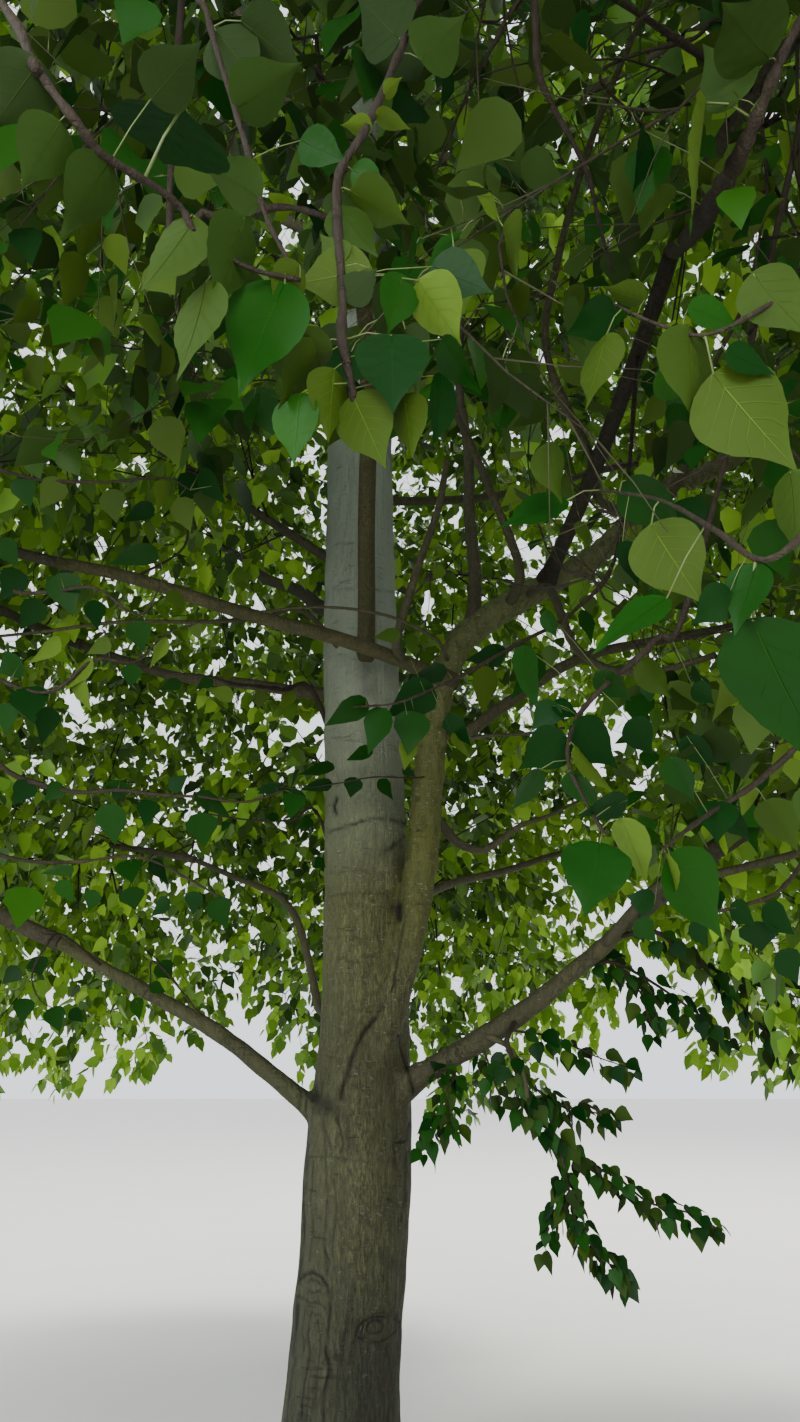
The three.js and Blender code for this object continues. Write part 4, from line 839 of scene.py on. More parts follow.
def grow_limbs(rows):
    share = np.linspace(0, 1, TRUNK_RINGS + 1)
    heights = TRUNK_TOP * share * (TRUNK_RINGS_EVEN + (1 - TRUNK_RINGS_EVEN) * share)
    middle = trunk_middle(heights)
    trunk = {"points": middle, "line": middle, "radii": trunk_radius(heights), "tangent": UP}
    limbs = {"trunk": trunk, "trunk_tip": trunk}
    for index, row in enumerate(rows):
        limbs[row["name"]] = grow_limb(row, FIRST_BOUGH_SEED + index, limbs)
    return limbs


def planned_masses(rows):
    """The masses of foliage, each with the seed that the model's source gives it."""
    seeds = range(FIRST_FOLIAGE_SEED, FIRST_FOLIAGE_SEED + FOLIAGE_SEED_STEP * len(rows), FOLIAGE_SEED_STEP)
    return [dict(row, middle=np.array(row["middle"], float), seed=seed) for row, seed in zip(rows, seeds)]


# Spaces of the foliage

def space_depth(mass, points, crossing=0.0):
    """How far inside its mass's space each point is. It may cross into the next space a little."""
    own_away = np.linalg.norm(points - mass["middle"], axis=-1)
    own_power = own_away ** 2 - mass["radius"] ** 2
    depth = mass["radius"] - own_away
    for other in masses:
        if other is not mass:
            power = np.sum((points - other["middle"]) ** 2, axis=-1) - other["radius"] ** 2
            apart = np.linalg.norm(mass["middle"] - other["middle"])
            depth = np.minimum(depth, (power - own_power) / (2 * apart) + crossing)
    return depth


def in_opening(points):
    """True for each point in the wedge of air between the camera and the trunk."""
    share = 1 + points[..., 1] / OPENING_REACH
    height = points[..., 2]
    top = OPENING_FOOT + OPENING_SLOPE * share * OPENING_REACH
    inside = (share >= 0) & (share <= 1) & (height <= top)
    left = OPENING_START - OPENING_START_HALF
    left = left + (OPENING_LEFT - left) * share
    inner = np.where(height < OPENING_FOOT, OPENING_RIGHT_LOW, OPENING_RIGHT)
    right = OPENING_START + OPENING_START_HALF
    right = right + (inner - right) * share
    return inside & (points[..., 0] > left) & (points[..., 0] < right)


def limb_pieces(limbs):
    """Every stretch of every limb as two ends and a radius."""
    starts, ends, radii = [], [], []
    for name, limb in limbs.items():
        if name != "trunk_tip":
            starts.append(limb["points"][:-1])
            ends.append(limb["points"][1:])
            radii.append(np.maximum(limb["radii"][:-1], limb["radii"][1:]))
    return np.concatenate(starts), np.concatenate(ends), np.concatenate(radii)


def squared_distance(points, start, end):
    """Each point's squared distance to the straight line from start to end."""
    along = end - start
    share = np.clip((points - start) @ along / (along @ along), 0, 1)
    return np.sum((points - (start + share[:, None] * along)) ** 2, axis=1)


def clear_of_limbs(points, margin):
    """True for each point that lies further than margin from every limb's surface."""
    flat = points.reshape(-1, 3)
    clear = np.ones(len(flat), bool)
    for start, end, radius in zip(*pieces):
        clear &= squared_distance(flat, start, end) > (radius + margin) ** 2
    return clear.reshape(points.shape[:-1])


def in_reach(points):
    """True for each point inside the solid model's box, or only just outside it."""
    return np.all((points > cad_low - REACH_MARGIN) & (points < cad_high + REACH_MARGIN), axis=-1)


# Stems and twigs, as in the model's source

def stem_line(mass):
    """The start, the control point and the end of a mass's stem."""
    start, _, tangent = limb_start(mass, limbs)
    ahead = unit(mass["middle"] - start)
    end = mass["middle"] + ahead * STEM_REACH * mass["radius"]
    first = ahead if tangent is None else tangent
    return start, start + first * STEM_SWEEP * np.linalg.norm(end - start), end


def on_curve(start, control, end, steps):
    """A line of steps pieces, or one for each row of its ends, that bends towards control."""
    share = np.linspace(0, 1, steps + 1).reshape(-1, *[1] * start.ndim)
    return start * (1 - share) ** 2 + control * 2 * share * (1 - share) + end * share ** 2


def stem_radius(mass, share):
    if "height" in mass:
        root = STEM_THICKNESS * mass["radius"]
    else:
        root = STEM_FIT * limbs[mass["on"]]["radii"][-1]
    return root * (1 - STEM_TAPER * share)


def twig_line(start, direction, length, lift):
    points = [start]
    for step in range(1, TWIG_STEPS + 1):
        heading = unit(direction + UP * lift * step / TWIG_STEPS)
        points.append(points[-1] + heading * length / TWIG_STEPS)
    return np.array(points)


def twig_fits(mass, points):
    leaf_tip = points[-1] + unit(points[-1] - points[-2]) * LEAF_ROOM * LEAF_SHARE * mass["radius"]
    tested = np.vstack([points[1:], leaf_tip])
    return (np.all(space_depth(mass, tested) > SPACE_MARGIN) and not np.any(in_opening(tested))
            and np.all(clear_of_limbs(tested, LIMB_MARGIN)))


def grow_twigs(mass, stem):
    """The source's twigs: each is shortened until it fits its space, or left out."""
    random = random_from(mass["seed"])
    count = max(int(TWIGS_PER_METRE * mass["radius"] + 0.5), FEWEST_TWIGS)
    twigs = []
    for index in range(count):
        share = FIRST_TWIG + TWIG_SPAN * index / (count - 1)
        lean = TWIG_LEAN - TWIG_LEAN_FALL * share + TWIG_LEAN_SPREAD * (random() - 0.5)
        turn = index * GOLDEN_ANGLE + TWIG_TURN_SPREAD * random()
        direction = leaning(direction_along(stem, share), turn, math.radians(lean))
        lift = TWIG_LIFT + TWIG_LIFT_SPREAD * random()
        length = mass["radius"] * (TWIG_LENGTH - TWIG_LENGTH_FALL * share)
        length *= TWIG_LEAST + TWIG_SPREAD * random()
        for _ in range(TWIG_TRIES):
            points = twig_line(point_along(stem, share), direction, length, lift)
            if twig_fits(mass, points):
                twigs.append((points, TWIG_THICKNESS * stem_radius(mass, share)))
                break
            length *= TWIG_SHORTER
    return twigs


# Finer growth

def rounded(points, random):
    """A smooth line through the three points of a twig, with a slight waver."""
    control = 2 * points[1] - (points[0] + points[-1]) / 2
    line = on_curve(points[0], control, points[-1], FINE_TWIG_STEPS)
    share = np.linspace(0, 1, FINE_TWIG_STEPS + 1)[:, None]
    length = np.linalg.norm(points[-1] - points[0])
    for turns in TWIG_WAVER_TURNS:
        offset = random.normal(size=3) * TWIG_WAVER * length / turns
        phase = random.uniform(0, 6)
        line += offset * np.sin(share * np.pi) * np.sin(share * turns * np.pi + phase)
    return line


def line_lengths(lines):
    return np.linalg.norm(np.diff(lines, axis=1), axis=2).sum(axis=1)


def counted(counts):
    """For groups of these counts: the group of each member, and its place in the group."""
    group = np.repeat(np.arange(len(counts)), counts)
    return group, np.arange(len(group)) - np.repeat(np.cumsum(counts) - counts, counts)


def on_lines(lines, which, share):
    """Points at shares of the chosen lines' lengths, and the directions of the lines there."""
    steps = lines.shape[1] - 1
    place = np.minimum(share * steps, steps - 1e-6)
    index = place.astype(int)
    start = lines[which, index]
    step = lines[which, index + 1] - start
    return start + step * (place - index)[:, None], unit(step)


def places_along(lines, first, spacing, random):
    """Places that finer growth leaves from, along lines of one point count."""
    room = line_lengths(lines) * (1 - first)
    counts = np.maximum((room / spacing + 0.5).astype(int), 1)
    line, order = counted(counts)
    share = first + (1 - first) * (order + random.uniform(0.2, 0.8, len(line))) / counts[line]
    points, headings = on_lines(lines, line, share)
    turns = order * GOLDEN_ANGLE + LINE_TURN * line + random.uniform(-0.5, 0.5, len(line))
    return points, headings, share, turns


def bent_lines(starts, directions, lengths, lifts, steps):
    """Lines bent up or down step by step, as the source bends a twig."""
    points = [starts]
    for step in range(1, steps + 1):
        heading = unit(directions + UP * (lifts * step / steps)[:, None])
        points.append(points[-1] + heading * (lengths / steps)[:, None])
    return np.stack(points, axis=1)


def sparseness(mass):
    height = mass["middle"][2]
    if height > HIGH_UP:
        return HIGH_UP_SPARSER
    return LOW_DOWN_SPARSER if height < LOW_DOWN else MIDDLE_SPARSER


def growth_starts(mass, parents, kind, random):
    """Where finer growth leaves its parents, along them and at their tips, and which way."""
    rows = []
    for lines, first in parents:
        spacing = kind["spacing"] * sparseness(mass)
        points, headings, share, turns = places_along(lines, first, spacing, random)
        tips = unit(lines[:, -1] - lines[:, -2])
        tip_turns = random.uniform(0, 6, len(lines))
        leans = kind["lean"] + random.uniform(-LEAN_SPREAD, LEAN_SPREAD, len(points))
        rows.append((points, headings, share, turns, leans))
        rows.append((lines[:, -1], tips, np.full(len(lines), TIP_SHARE), tip_turns,
                     random.uniform(*TIP_LEANS, len(lines))))
    starts, directions, shares, turns, leans = (np.concatenate(column) for column in zip(*rows))
    return starts, leaning(directions, turns, np.radians(leans)), shares


def grow_from(mass, parents, kind, random):
    """Finer growth along its parents and on at their tips, shortened until it fits, or left out."""
    starts, directions, shares = growth_starts(mass, parents, kind, random)
    count = len(starts)
    size = kind["length"] * min(mass["radius"] / FULL_SIZE_RADIUS, 1)
    lengths = size * (1 + kind["fall"] * (1 - 2 * shares)) * random.uniform(*GROWTH_LENGTHS, count)
    lift = next(lift for top, lift in LIFTS if mass["middle"][2] < top)
    lifts = random.uniform(*lift, count)
    good = np.zeros(count, bool)
    for _ in range(GROWTH_TRIES):
        lengths = np.where(good, lengths, lengths * GROWTH_SHORTER) if good.any() else lengths
        lines = bent_lines(starts, directions, lengths, lifts, kind["steps"])
        tested = lines[:, 1:]
        good = np.all(space_depth(mass, tested, kind["crossing"]) > SPACE_SLACK, axis=1)
        good &= ~np.any(in_opening(tested), axis=1) & np.all(in_reach(tested), axis=1)
    lines = lines[good]
    return lines[np.all(clear_of_limbs(lines[:, 1:], TWIG_MARGIN), axis=1)]


def open_places(mass, grid, random):
    """Jittered places through a mass's space, with an uneven outer edge."""
    reach = np.arange(-mass["radius"], mass["radius"], grid)
    places = np.stack(np.meshgrid(reach, reach, reach), axis=-1).reshape(-1, 3)
    places = mass["middle"] + places + random.uniform(0, grid, places.shape)
    edge = FILLING_EDGE * (1 + waves(places, *EDGE_WAVES, mass["seed"]))
    keep = (space_depth(mass, places, FILLING_CROSSING) > edge) & ~in_opening(places)
    return places[keep & in_reach(places) & clear_of_limbs(places, FILLING_MARGIN)]


def nearest_of(places, points):
    """For each place the nearest point's index, and how far it is, worked out in batches."""
    index, squares = np.empty(len(places), int), np.empty(len(places))
    for start in range(0, len(places), BATCH):
        part = places[start:start + BATCH]
        apart = np.sum(part ** 2, axis=1)[:, None] - 2 * part @ points.T
        apart = apart + np.sum(points ** 2, axis=1)
        index[start:start + BATCH] = apart.argmin(axis=1)
        squares[start:start + BATCH] = apart.min(axis=1)
    return index, np.sqrt(np.maximum(squares, 0))


def fill_twigs(mass, grown, kind, random):
    """Twigs to the places that no twig comes near yet, each from the nearest twig."""
    places = open_places(mass, kind["grid"], random)
    points = np.concatenate([lines[:, 1:].reshape(-1, 3) for lines in grown])
    headings = unit(np.concatenate([np.diff(lines, axis=1).reshape(-1, 3) for lines in grown]))
    index, apart = nearest_of(places, points)
    chosen = (apart > kind["apart"]) & (apart < kind["farthest"])
    start, end, apart = points[index[chosen]], places[chosen], apart[chosen, None]
    ahead, toward, upward = FILLING_SWEEP
    sweep = headings[index[chosen]] * ahead + (end - start) / apart * toward + UP * upward
    lines = on_curve(start, start + sweep * apart, end, SIDE_TWIGS["steps"]).transpose(1, 0, 2)
    tested = lines[:, 1:]
    good = np.all(clear_of_limbs(tested, TWIG_MARGIN) & ~in_opening(tested) & in_reach(tested), axis=1)
    inside = space_depth(mass, tested, SIDE_TWIGS["crossing"]) > SPACE_SLACK
    return lines[good & np.all(inside, axis=1)]


def thinned(lines, cell, random):
    """Lines left out where too many middles fall into one cell of space."""
    cells = np.floor(lines[:, lines.shape[1] // 2] / cell).astype(int)
    order = random.permutation(len(lines))
    _, cells = np.unique(cells[order], axis=0, return_inverse=True)
    cells = cells.ravel()
    ranks = np.empty(len(cells), int)
    ranks[np.argsort(cells, kind="stable")] = counted(np.bincount(cells))[1]
    return lines[np.sort(order[ranks < CROWDED_MOST])]


def leaf_joints(lines, spacing):
    """Places for leaves along each shoot, its direction there, and each leaf's turn in the order."""
    room = line_lengths(lines) * LEAFY_SHARE
    counts = np.maximum((room / spacing).astype(int), 2) + 1
    spray, order = counted(counts)
    share = FIRST_LEAF + (1 - FIRST_LEAF) * order / (counts[spray] - 1)
    joint, shoot = on_lines(lines, spray, share)
    return joint, shoot, spray, order, order == counts[spray] - 1


def grow_leaves(lines, spacing, random, droop=BLADE_DROOP):
    """Leaves by turns round each shoot, with one at its tip."""
    joint, shoot, spray, order, last = leaf_joints(lines, spacing)
    count = len(spray)
    lean = np.radians(np.where(last, TIP_LEAF_LEAN, random.uniform(*LEAF_LEANS, count)))
    turn = order * GOLDEN_ANGLE + random.uniform(-0.4, 0.4, count) + spray
    stalk = leaning(shoot, turn, lean)
    stalk = unit(stalk - UP * random.uniform(0, STALK_DROOP, count)[:, None])
    size = LEAF_LENGTH * random.uniform(*LEAF_SIZES, count) * np.where(last, TIP_LEAF_SIZE, 1)
    along = unit(stalk - UP * (droop + random.uniform(*BLADE_DROOP_SPREAD, count))[:, None])
    tilts = [random.uniform(-FACE_TILT, FACE_TILT, count) for _ in range(2)]
    return {
        "joint": joint,
        "base": joint + stalk * (size * STALK_SHARE)[:, None],
        "along": along,
        "face": np.stack([*tilts, 0.3 + random.uniform(0, 1, count)], axis=1),
        "length": size,
        "width": LEAF_WIDTH * random.uniform(*WIDTHS, count),
        "fold": random.uniform(*FOLDS, count),
        "curl": random.uniform(*CURLS, count),
        "ripple": random.uniform(0, MOST_RIPPLE, count),
        "phase": random.uniform(0, 6.28, count),
        "spray": spray,
        "seen": np.zeros(count),
    }


def carrier_line(name):
    """The line of whatever a limb or twig read off the photograph grows on."""
    if name in SEEN_SPRAYS:
        return seen_line(SEEN_SPRAYS[name])
    return stems[name] if name in stems else limbs[name]["line"]


def seen_line(row):
    """The line of a limb or twig through the places it is seen at, from the limb it is on."""
    carrier, share, places = row[0], row[1], row[-1]
    start = point_along(carrier_line(carrier), share)
    return curve_through(np.array([start] + [seen_at(*place) for place in places]))


def seen_tube(row, sides, roughness, seed):
    line = seen_line(row)
    random = np.random.default_rng(seed)
    radii = np.linspace(row[2], row[3], len(line))
    radii = radii * (1 + roughness * random.uniform(-1, 1, len(line)))
    return tube_mesh(line[None], radii[None], sides)


def seen_leaf(row, line, random):
    """One leaf read off the photograph, hung from the nearest point of its twig."""
    base_across, base_down, tip_across, tip_down, pixels_wide, side, tint = row
    spots, depths = pixels_of(line)
    nearest = np.argmin(np.sum((spots - (base_across, base_down)) ** 2, axis=1))
    depth = depths[nearest]
    base = seen_at(base_across, base_down, depth)
    shown = math.hypot(tip_across - base_across, tip_down - base_down) * depth / PIXELS
    wide = pixels_wide * depth / PIXELS
    length = max(shown, wide / LEAF_WIDTH)
    away = math.sqrt(max(length ** 2 - shown ** 2, 0)) * random.choice([-1, 1])
    along = unit(seen_at(tip_across, tip_down, depth + away) - base)
    view = unit(base - CAMERA)
    across = unit(np.cross(along, view))
    roll = math.acos(min(wide / (LEAF_WIDTH * length), 1)) * random.choice([-1, 1])
    face = side * (np.cross(along, across) * -math.cos(roll) + across * math.sin(roll))
    if np.dot(face, view) * side > 0:
        face = -face
    shape = dict(fold=random.uniform(*SEEN_FOLDS), curl=random.uniform(0, SEEN_CURL),
                 ripple=random.uniform(0, SEEN_RIPPLE), phase=random.uniform(0, 6))
    return dict(joint=line[nearest], base=base, along=along, face=face, length=length,
                width=LEAF_WIDTH, spray=0, seen=1, tint=tint, **shape)


def resampled(line, count):
    """A line's points moved to equal steps."""
    lengths = np.concatenate([[0], np.cumsum(np.linalg.norm(np.diff(line, axis=0), axis=1))])
    places = np.linspace(0, lengths[-1], count)
    return np.stack([np.interp(places, lengths, line[:, axis]) for axis in range(3)], axis=1)


def lines_in_view():
    """Where the camera sees the limbs and twigs that no leaf may hide."""
    lines = [limbs[name]["line"] for name in CLEAR_BOUGHS]
    lines += [seen_line(row) for row in [*SEEN_LIMBS, *SEEN_TWIGS.values()]]
    return [pixels_of(resampled(line, VIEW_STEPS)) for line in lines]


def grow_seen_sprays():
    """The leafy twigs read off the photograph: wood and leaves."""
    random = np.random.default_rng(SPRAY_SEED)
    wood, grown = [], []
    for index, row in enumerate(SEEN_SPRAYS.values()):
        wood.append(seen_tube(row, 6, SPRAY_ROUGHNESS, index))
        line = resampled(seen_line(row), 13)
        leaves = grow_leaves(line[None], row[4], random, SPRAY_LEAF_DROOP)
        leaves["length"] = leaves["length"] * SPRAY_LEAF_SCALE
        leaves["tint"] = whole_tints(random.normal(*SPRAY_TINTS, len(leaves["spray"])))
        leaves["seen"][:] = 1
        grown.append(leaves)
    return wood, joined_leaves(grown)


def grow_seen_leaves():
    random = np.random.default_rng(SEEN_LEAF_SEED)
    rows = []
    for name, twig in SEEN_TWIGS.items():
        line = seen_line(twig)
        rows += [seen_leaf(row, line, random) for row in SEEN_LEAVES.get(name, [])]
    return {key: np.array([row[key] for row in rows]) for key in rows[0]}


def whole_tints(values):
    """Tints as whole numbers, from the darkest to the lightest of a kind."""
    return np.clip(np.rint(values), 0, TINTS - 1).astype(int)


def leaves_where(leaves, chosen):
    return {key: value[chosen] for key, value in leaves.items()}


def joined_leaves(several):
    return {key: np.concatenate([leaves[key] for leaves in several]) for key in several[0]}


# Meshes

def repeated(corners, pattern):
    """One mesh of many alike: rows of corners, and the triangles of each row."""
    shift = np.arange(len(corners))[:, None, None] * corners.shape[1]
    return corners.reshape(-1, 3), (pattern[None] + shift).reshape(-1, 3)


def tube_pattern(steps, sides):
    """The triangles of a tube of so many rings, closed at both ends."""
    step, corner = np.meshgrid(np.arange(steps - 1), np.arange(sides), indexing="ij")
    here = (step * sides + corner).ravel()
    beside = (step * sides + (corner + 1) % sides).ravel()
    last = (steps - 1) * sides
    inner = np.arange(1, sides - 1)
    return np.concatenate([
        np.stack([here, beside, beside + sides], 1),
        np.stack([here, beside + sides, here + sides], 1),
        np.stack([inner * 0, inner + 1, inner], 1),
        np.stack([inner * 0 + last, last + inner, last + inner + 1], 1)])


def tube_mesh(lines, radii, sides):
    """Tubes round lines of one point count, each closed at both ends: corners and triangles."""
    count, steps = lines.shape[:2]
    tangents = unit(np.gradient(lines, axis=1))
    steep = np.abs(tangents[:, 0, :1]) > 0.9
    side = np.where(steep, [[0.0, 1.0, 0.0]], [[1.0, 0.0, 0.0]])
    rings = np.empty((count, steps, sides, 3))
    for step in range(steps):
        tangent = tangents[:, step]
        side = unit(side - tangent * dot(side, tangent))
        other = np.cross(tangent, side)
        for corner, angle in enumerate(np.arange(sides) / sides * 2 * np.pi):
            out = side * math.cos(angle) + other * math.sin(angle)
            rings[:, step, corner] = lines[:, step] + out * radii[:, step, None]
    return repeated(rings.reshape(count, -1, 3), tube_pattern(steps, sides))


def joined_meshes(parts):
    """Several (corners, triangles) as one."""
    shifts = np.cumsum([0] + [len(corners) for corners, _ in parts])
    return (np.concatenate([corners for corners, _ in parts]),
            np.concatenate([triangles + shift for (_, triangles), shift in zip(parts, shifts)]))


def new_object(name, data):
    made = bpy.data.objects.new(name, data)
    bpy.context.scene.collection.objects.link(made)
    return made


def make_object(name, corners, triangles, materials, slots=None, smooth=True):
    mesh = bpy.data.meshes.new(name)
    mesh.vertices.add(len(corners))
    mesh.vertices.foreach_set("co", np.asarray(corners, np.float32).ravel())
    mesh.loops.add(triangles.size)
    mesh.loops.foreach_set("vertex_index", triangles.astype(np.int32).ravel())
    mesh.polygons.add(len(triangles))
    mesh.polygons.foreach_set("loop_start", np.arange(0, triangles.size, 3, dtype=np.int32))
    for material in materials:
        mesh.materials.append(material)
    if slots is not None:
        mesh.polygons.foreach_set("material_index", slots.astype(np.int32))
    mesh.polygons.foreach_set("use_smooth", np.full(len(triangles), smooth))
    mesh.update(calc_edges=True)
    return new_object(name, mesh)


def finish_piece(piece, nodes):
    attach(piece, "root")
    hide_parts(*nodes)


def make_piece(name, mesh, material, nodes):
    finish_piece(make_object(name, *mesh, [material]), nodes)


# Leaf blades

def leaf_half_width(share):
    """Half a blade's width along it, as a share of its half width: broad, with a drawn-out tip."""
    share = np.clip(share, 0, 1)
    drawn_out = rising(share, BLADE_DRAWN_FROM, 1 - BLADE_DRAWN_FROM)
    return np.sin(np.pi * share ** BLADE_WIDEST_POWER) * (1 - BLADE_DRAWN_IN * drawn_out ** 0.9)


def blade_grid(rows, columns):
    """A blade's places across and along it, and its triangles, facing up."""
    width = len(columns)
    across = [0.0, *columns * len(rows), 0.0]
    along = [0.0, *np.repeat(rows, width), 1.0]
    tip = len(across) - 1
    triangles = []
    for column in range(width - 1):
        last = 1 + (len(rows) - 1) * width + column
        triangles += [(0, 2 + column, 1 + column), (last, last + 1, tip)]
    for row in range(len(rows) - 1):
        for column in range(width - 1):
            here = 1 + row * width + column
            triangles += [(here, here + 1, here + 1 + width), (here, here + 1 + width, here + width)]
    return np.array(across), np.array(along), np.array(triangles)


SIDE_VEINS = 5
VEIN_RAISED = 0.0009
# The rest are shares of a leaf's length.
STALK_ARCH = 0.06
STALK_OVERLAP = 0.02
STALK_RADII = (0.012, 0.009, 0.01)
SPIKE_RADIUS = 0.014
SLIVER_HALF = 0.012
SLIVER_OVERLAP = 0.05
QUILT = 0.007
VEIN_SPACING = 0.15
VEIN_SLOPE = 0.26
MIDRIB_WIDTHS = [0.009, 0.007, 0.006, 0.0045, 0.003, 0.001]
SIDE_VEIN_WIDTHS = [0.003, 0.0022, 0.001]


def blade_places(leaves, across, along, raised):
    """Corners of every leaf for places across and along its blade, raised off it."""
    direction = leaves["along"]
    side = unit(np.cross(direction, leaves["face"]))
    face = np.cross(side, direction)
    out = across * leaf_half_width(along) * leaves["width"][:, None] / 2
    fold, curl = leaves["fold"][:, None], leaves["curl"][:, None]
    ripple = leaves["ripple"][:, None] * np.sin(9 * along + leaves["phase"][:, None] + 2 * across)
    vein = (along - VEIN_SLOPE * np.abs(across)) * 2 * np.pi / VEIN_SPACING
    quilt = QUILT * np.cos(vein) * np.abs(across)
    height = fold * np.abs(out) - curl * along ** 2 * 0.6 + ripple * np.abs(across) - quilt
    length = leaves["length"][:, None]
    corners = leaves["base"][:, None] + side[:, None] * (out * length)[..., None]
    corners = corners + direction[:, None] * (along * length)[..., None]
    return corners + face[:, None] * (height * length + raised)[..., None]


def sheet_mesh(leaves, across, along, triangles, raised, turned=False):
    corners = blade_places(leaves, across, along, raised)
    return repeated(corners, triangles[:, ::-1] if turned else triangles)


def stalk_mesh(leaves, sides):
    """Stalks with a slight arch, or straight ones of three sides."""
    joint, base = leaves["joint"], leaves["base"]
    middle = (joint + base) / 2 + UP * (STALK_ARCH * leaves["length"])[:, None]
    ends = base + leaves["along"] * (STALK_OVERLAP * leaves["length"])[:, None]
    if sides == 3:
        return spike_mesh(np.stack([joint, ends], axis=1), SPIKE_RADIUS * leaves["length"])
    lines = np.stack([joint, middle, ends], axis=1)
    return tube_mesh(lines, leaves["length"][:, None] * np.array([STALK_RADII]), sides)


def vein_places():
    """The lines of a blade's veins, as places across and along it, with their widths."""
    lines = [([0.0] * 6, [0.0, 0.2, 0.4, 0.6, 0.8, 0.97], MIDRIB_WIDTHS)]
    for vein in range(SIDE_VEINS):
        for hand in (-1, 1):
            across = [0.0, 0.4 * hand, 0.85 * hand]
            along = [VEIN_SPACING * vein + VEIN_SLOPE * abs(place) for place in across]
            lines.append((across, along, SIDE_VEIN_WIDTHS))
    return lines


def rib_strip(across, along, widths, midrib):
    """A flat rib's places across and along the blade: widened across for the midrib, else along."""
    places, heights = [], []
    for out, up, width in zip(across, along, widths):
        room = LEAF_WIDTH / 2 * max(float(leaf_half_width(np.array(up))), 0.15)
        share = width / room if midrib else 0
        rise = 0 if midrib else width
        places += [out - share, out + share]
        heights += [up - rise, up + rise]
    return np.array(places), np.array(heights)


def vein_mesh(leaves, raised):
    """Flat ribs along the veins, on one side of each blade, and their tints."""
    parts, tints = [], []
    for index, (across, along, widths) in enumerate(vein_places()):
        places, heights = rib_strip(across, along, widths, index == 0)
        steps = np.arange(len(across) - 1)[:, None, None] * 2
        triangles = (steps + np.array([(0, 1, 3), (0, 3, 2)])).reshape(-1, 3)
        parts.append(sheet_mesh(leaves, places, heights, triangles, raised, raised < 0))
        tints.append(np.repeat(leaves["tint"], len(triangles)))
    return joined_meshes(parts), np.concatenate(tints)


NEAR_ROWS = (0.02, 0.06, 0.12, 0.18, 0.24, 0.3, 0.36, 0.42, 0.48, 0.54, 0.6, 0.66, 0.73, 0.81, 0.9)
NEAR_COLUMNS = (-1, -0.5, 0, 0.5, 1)
MIDDLE_ROWS = (0.05, 0.2, 0.42, 0.7)
FAR_BLADE = ([0, 1, 1, 0, -1, -1.0], [0, 0.17, 0.56, 1, 0.56, 0.17],
             [(0, 1, 2), (0, 2, 3), (0, 3, 4), (0, 4, 5)])


def two_sided_part(leaves, rows, columns):
    """Blades with an upper and an under side that share their rim, and the slot of each face."""
    across, along, triangles = blade_grid(rows, columns)
    inside = (np.abs(across) < 1) & (along > 0) & (along < 1)
    raised = np.where(inside, LEAF_THICKNESS / 2, 0)
    upper = sheet_mesh(leaves, across, along, triangles, raised)
    under = sheet_mesh(leaves, across, along, triangles, -raised, True)
    tints = np.repeat(leaves["tint"], len(triangles))
    return joined_meshes([upper, under]), np.concatenate([tints, tints + UNDER_SLOT])


def far_parts(leaves):
    """Blades of four faces folded along the middle, on slivers of stalks."""
    across, along, triangles = (np.array(part) for part in FAR_BLADE)
    blades = sheet_mesh(leaves, across, along, triangles, 0)
    slots = np.repeat(leaves["tint"], len(triangles)) + FAR_SLOT
    leaves = leaves_where(leaves, np.any(leaves["base"] != leaves["joint"], axis=1))
    side = unit(np.cross(leaves["along"], leaves["face"]))
    half = side * (SLIVER_HALF * leaves["length"])[:, None]
    base = leaves["base"] + leaves["along"] * (SLIVER_OVERLAP * leaves["length"])[:, None]
    corners = np.stack([leaves["joint"] - half, leaves["joint"] + half, base], axis=1)
    return [(blades, slots), stalk_part(repeated(corners, np.array([(0, 1, 2)])))]


# Materials

def new_material(name, roughness, specular=0.5):
    material = bpy.data.materials.new(name)
    material.use_nodes = True
    shader = material.node_tree.nodes["Principled BSDF"]
    shader.inputs["Roughness"].default_value = roughness
    shader.inputs["Specular IOR Level"].default_value = specular
    return material, shader


def plain_material(name, color, roughness, specular=0.5):
    material, shader = new_material(name, roughness, specular)
    shader.inputs["Base Color"].default_value = (*color, 1)
    return material


TINTS = 5                    # of each kind of leaf, from dark to light
UNDER_SLOT = TINTS
FAR_SLOT = 2 * TINTS
STALK_SLOT = 3 * TINTS
UPPER_TINTS = [(0.003, 0.022, 0.003), (0.005, 0.032, 0.003), (0.007, 0.042, 0.0035),
               (0.011, 0.054, 0.004), (0.020, 0.078, 0.005)]
UNDER_TINTS = [(0.009, 0.022, 0.0025), (0.016, 0.038, 0.004), (0.022, 0.046, 0.004),
               (0.029, 0.055, 0.0045), (0.058, 0.104, 0.010)]
FAR_TINTS = [(0.018, 0.052, 0.0055), (0.034, 0.090, 0.0068), (0.061, 0.142, 0.008),
             (0.108, 0.228, 0.010), (0.200, 0.365, 0.018)]
BARK_HIGH = (0.250, 0.292, 0.236)
BARK_PALE = (0.140, 0.147, 0.056)
BARK_DARK = (0.030, 0.031, 0.0105)
BARK_SUNNY = (0.185, 0.200, 0.100)
MOSS_TINT = (0.072, 0.098, 0.022)
UPPER_SHADE = (0.35, 0.38, 0.33)
LOW_SHADE = (0.26, 0.26, 0.31)
FOOT_SHADE = (0.62, 0.62, 0.70)
BARK_GREEN = (0.050, 0.060, 0.020)
SECOND_STEM_TINT = (0.068, 0.074, 0.013)
SECOND_STEM_DARK = (0.024, 0.025, 0.007)
LOW_BOUGH_TINT = (0.056, 0.053, 0.024)
SPECK_TINT = (0.24, 0.24, 0.18)
RING_TINT = (0.035, 0.03, 0.018)
CRACK_TINT = (0.03, 0.027, 0.018)
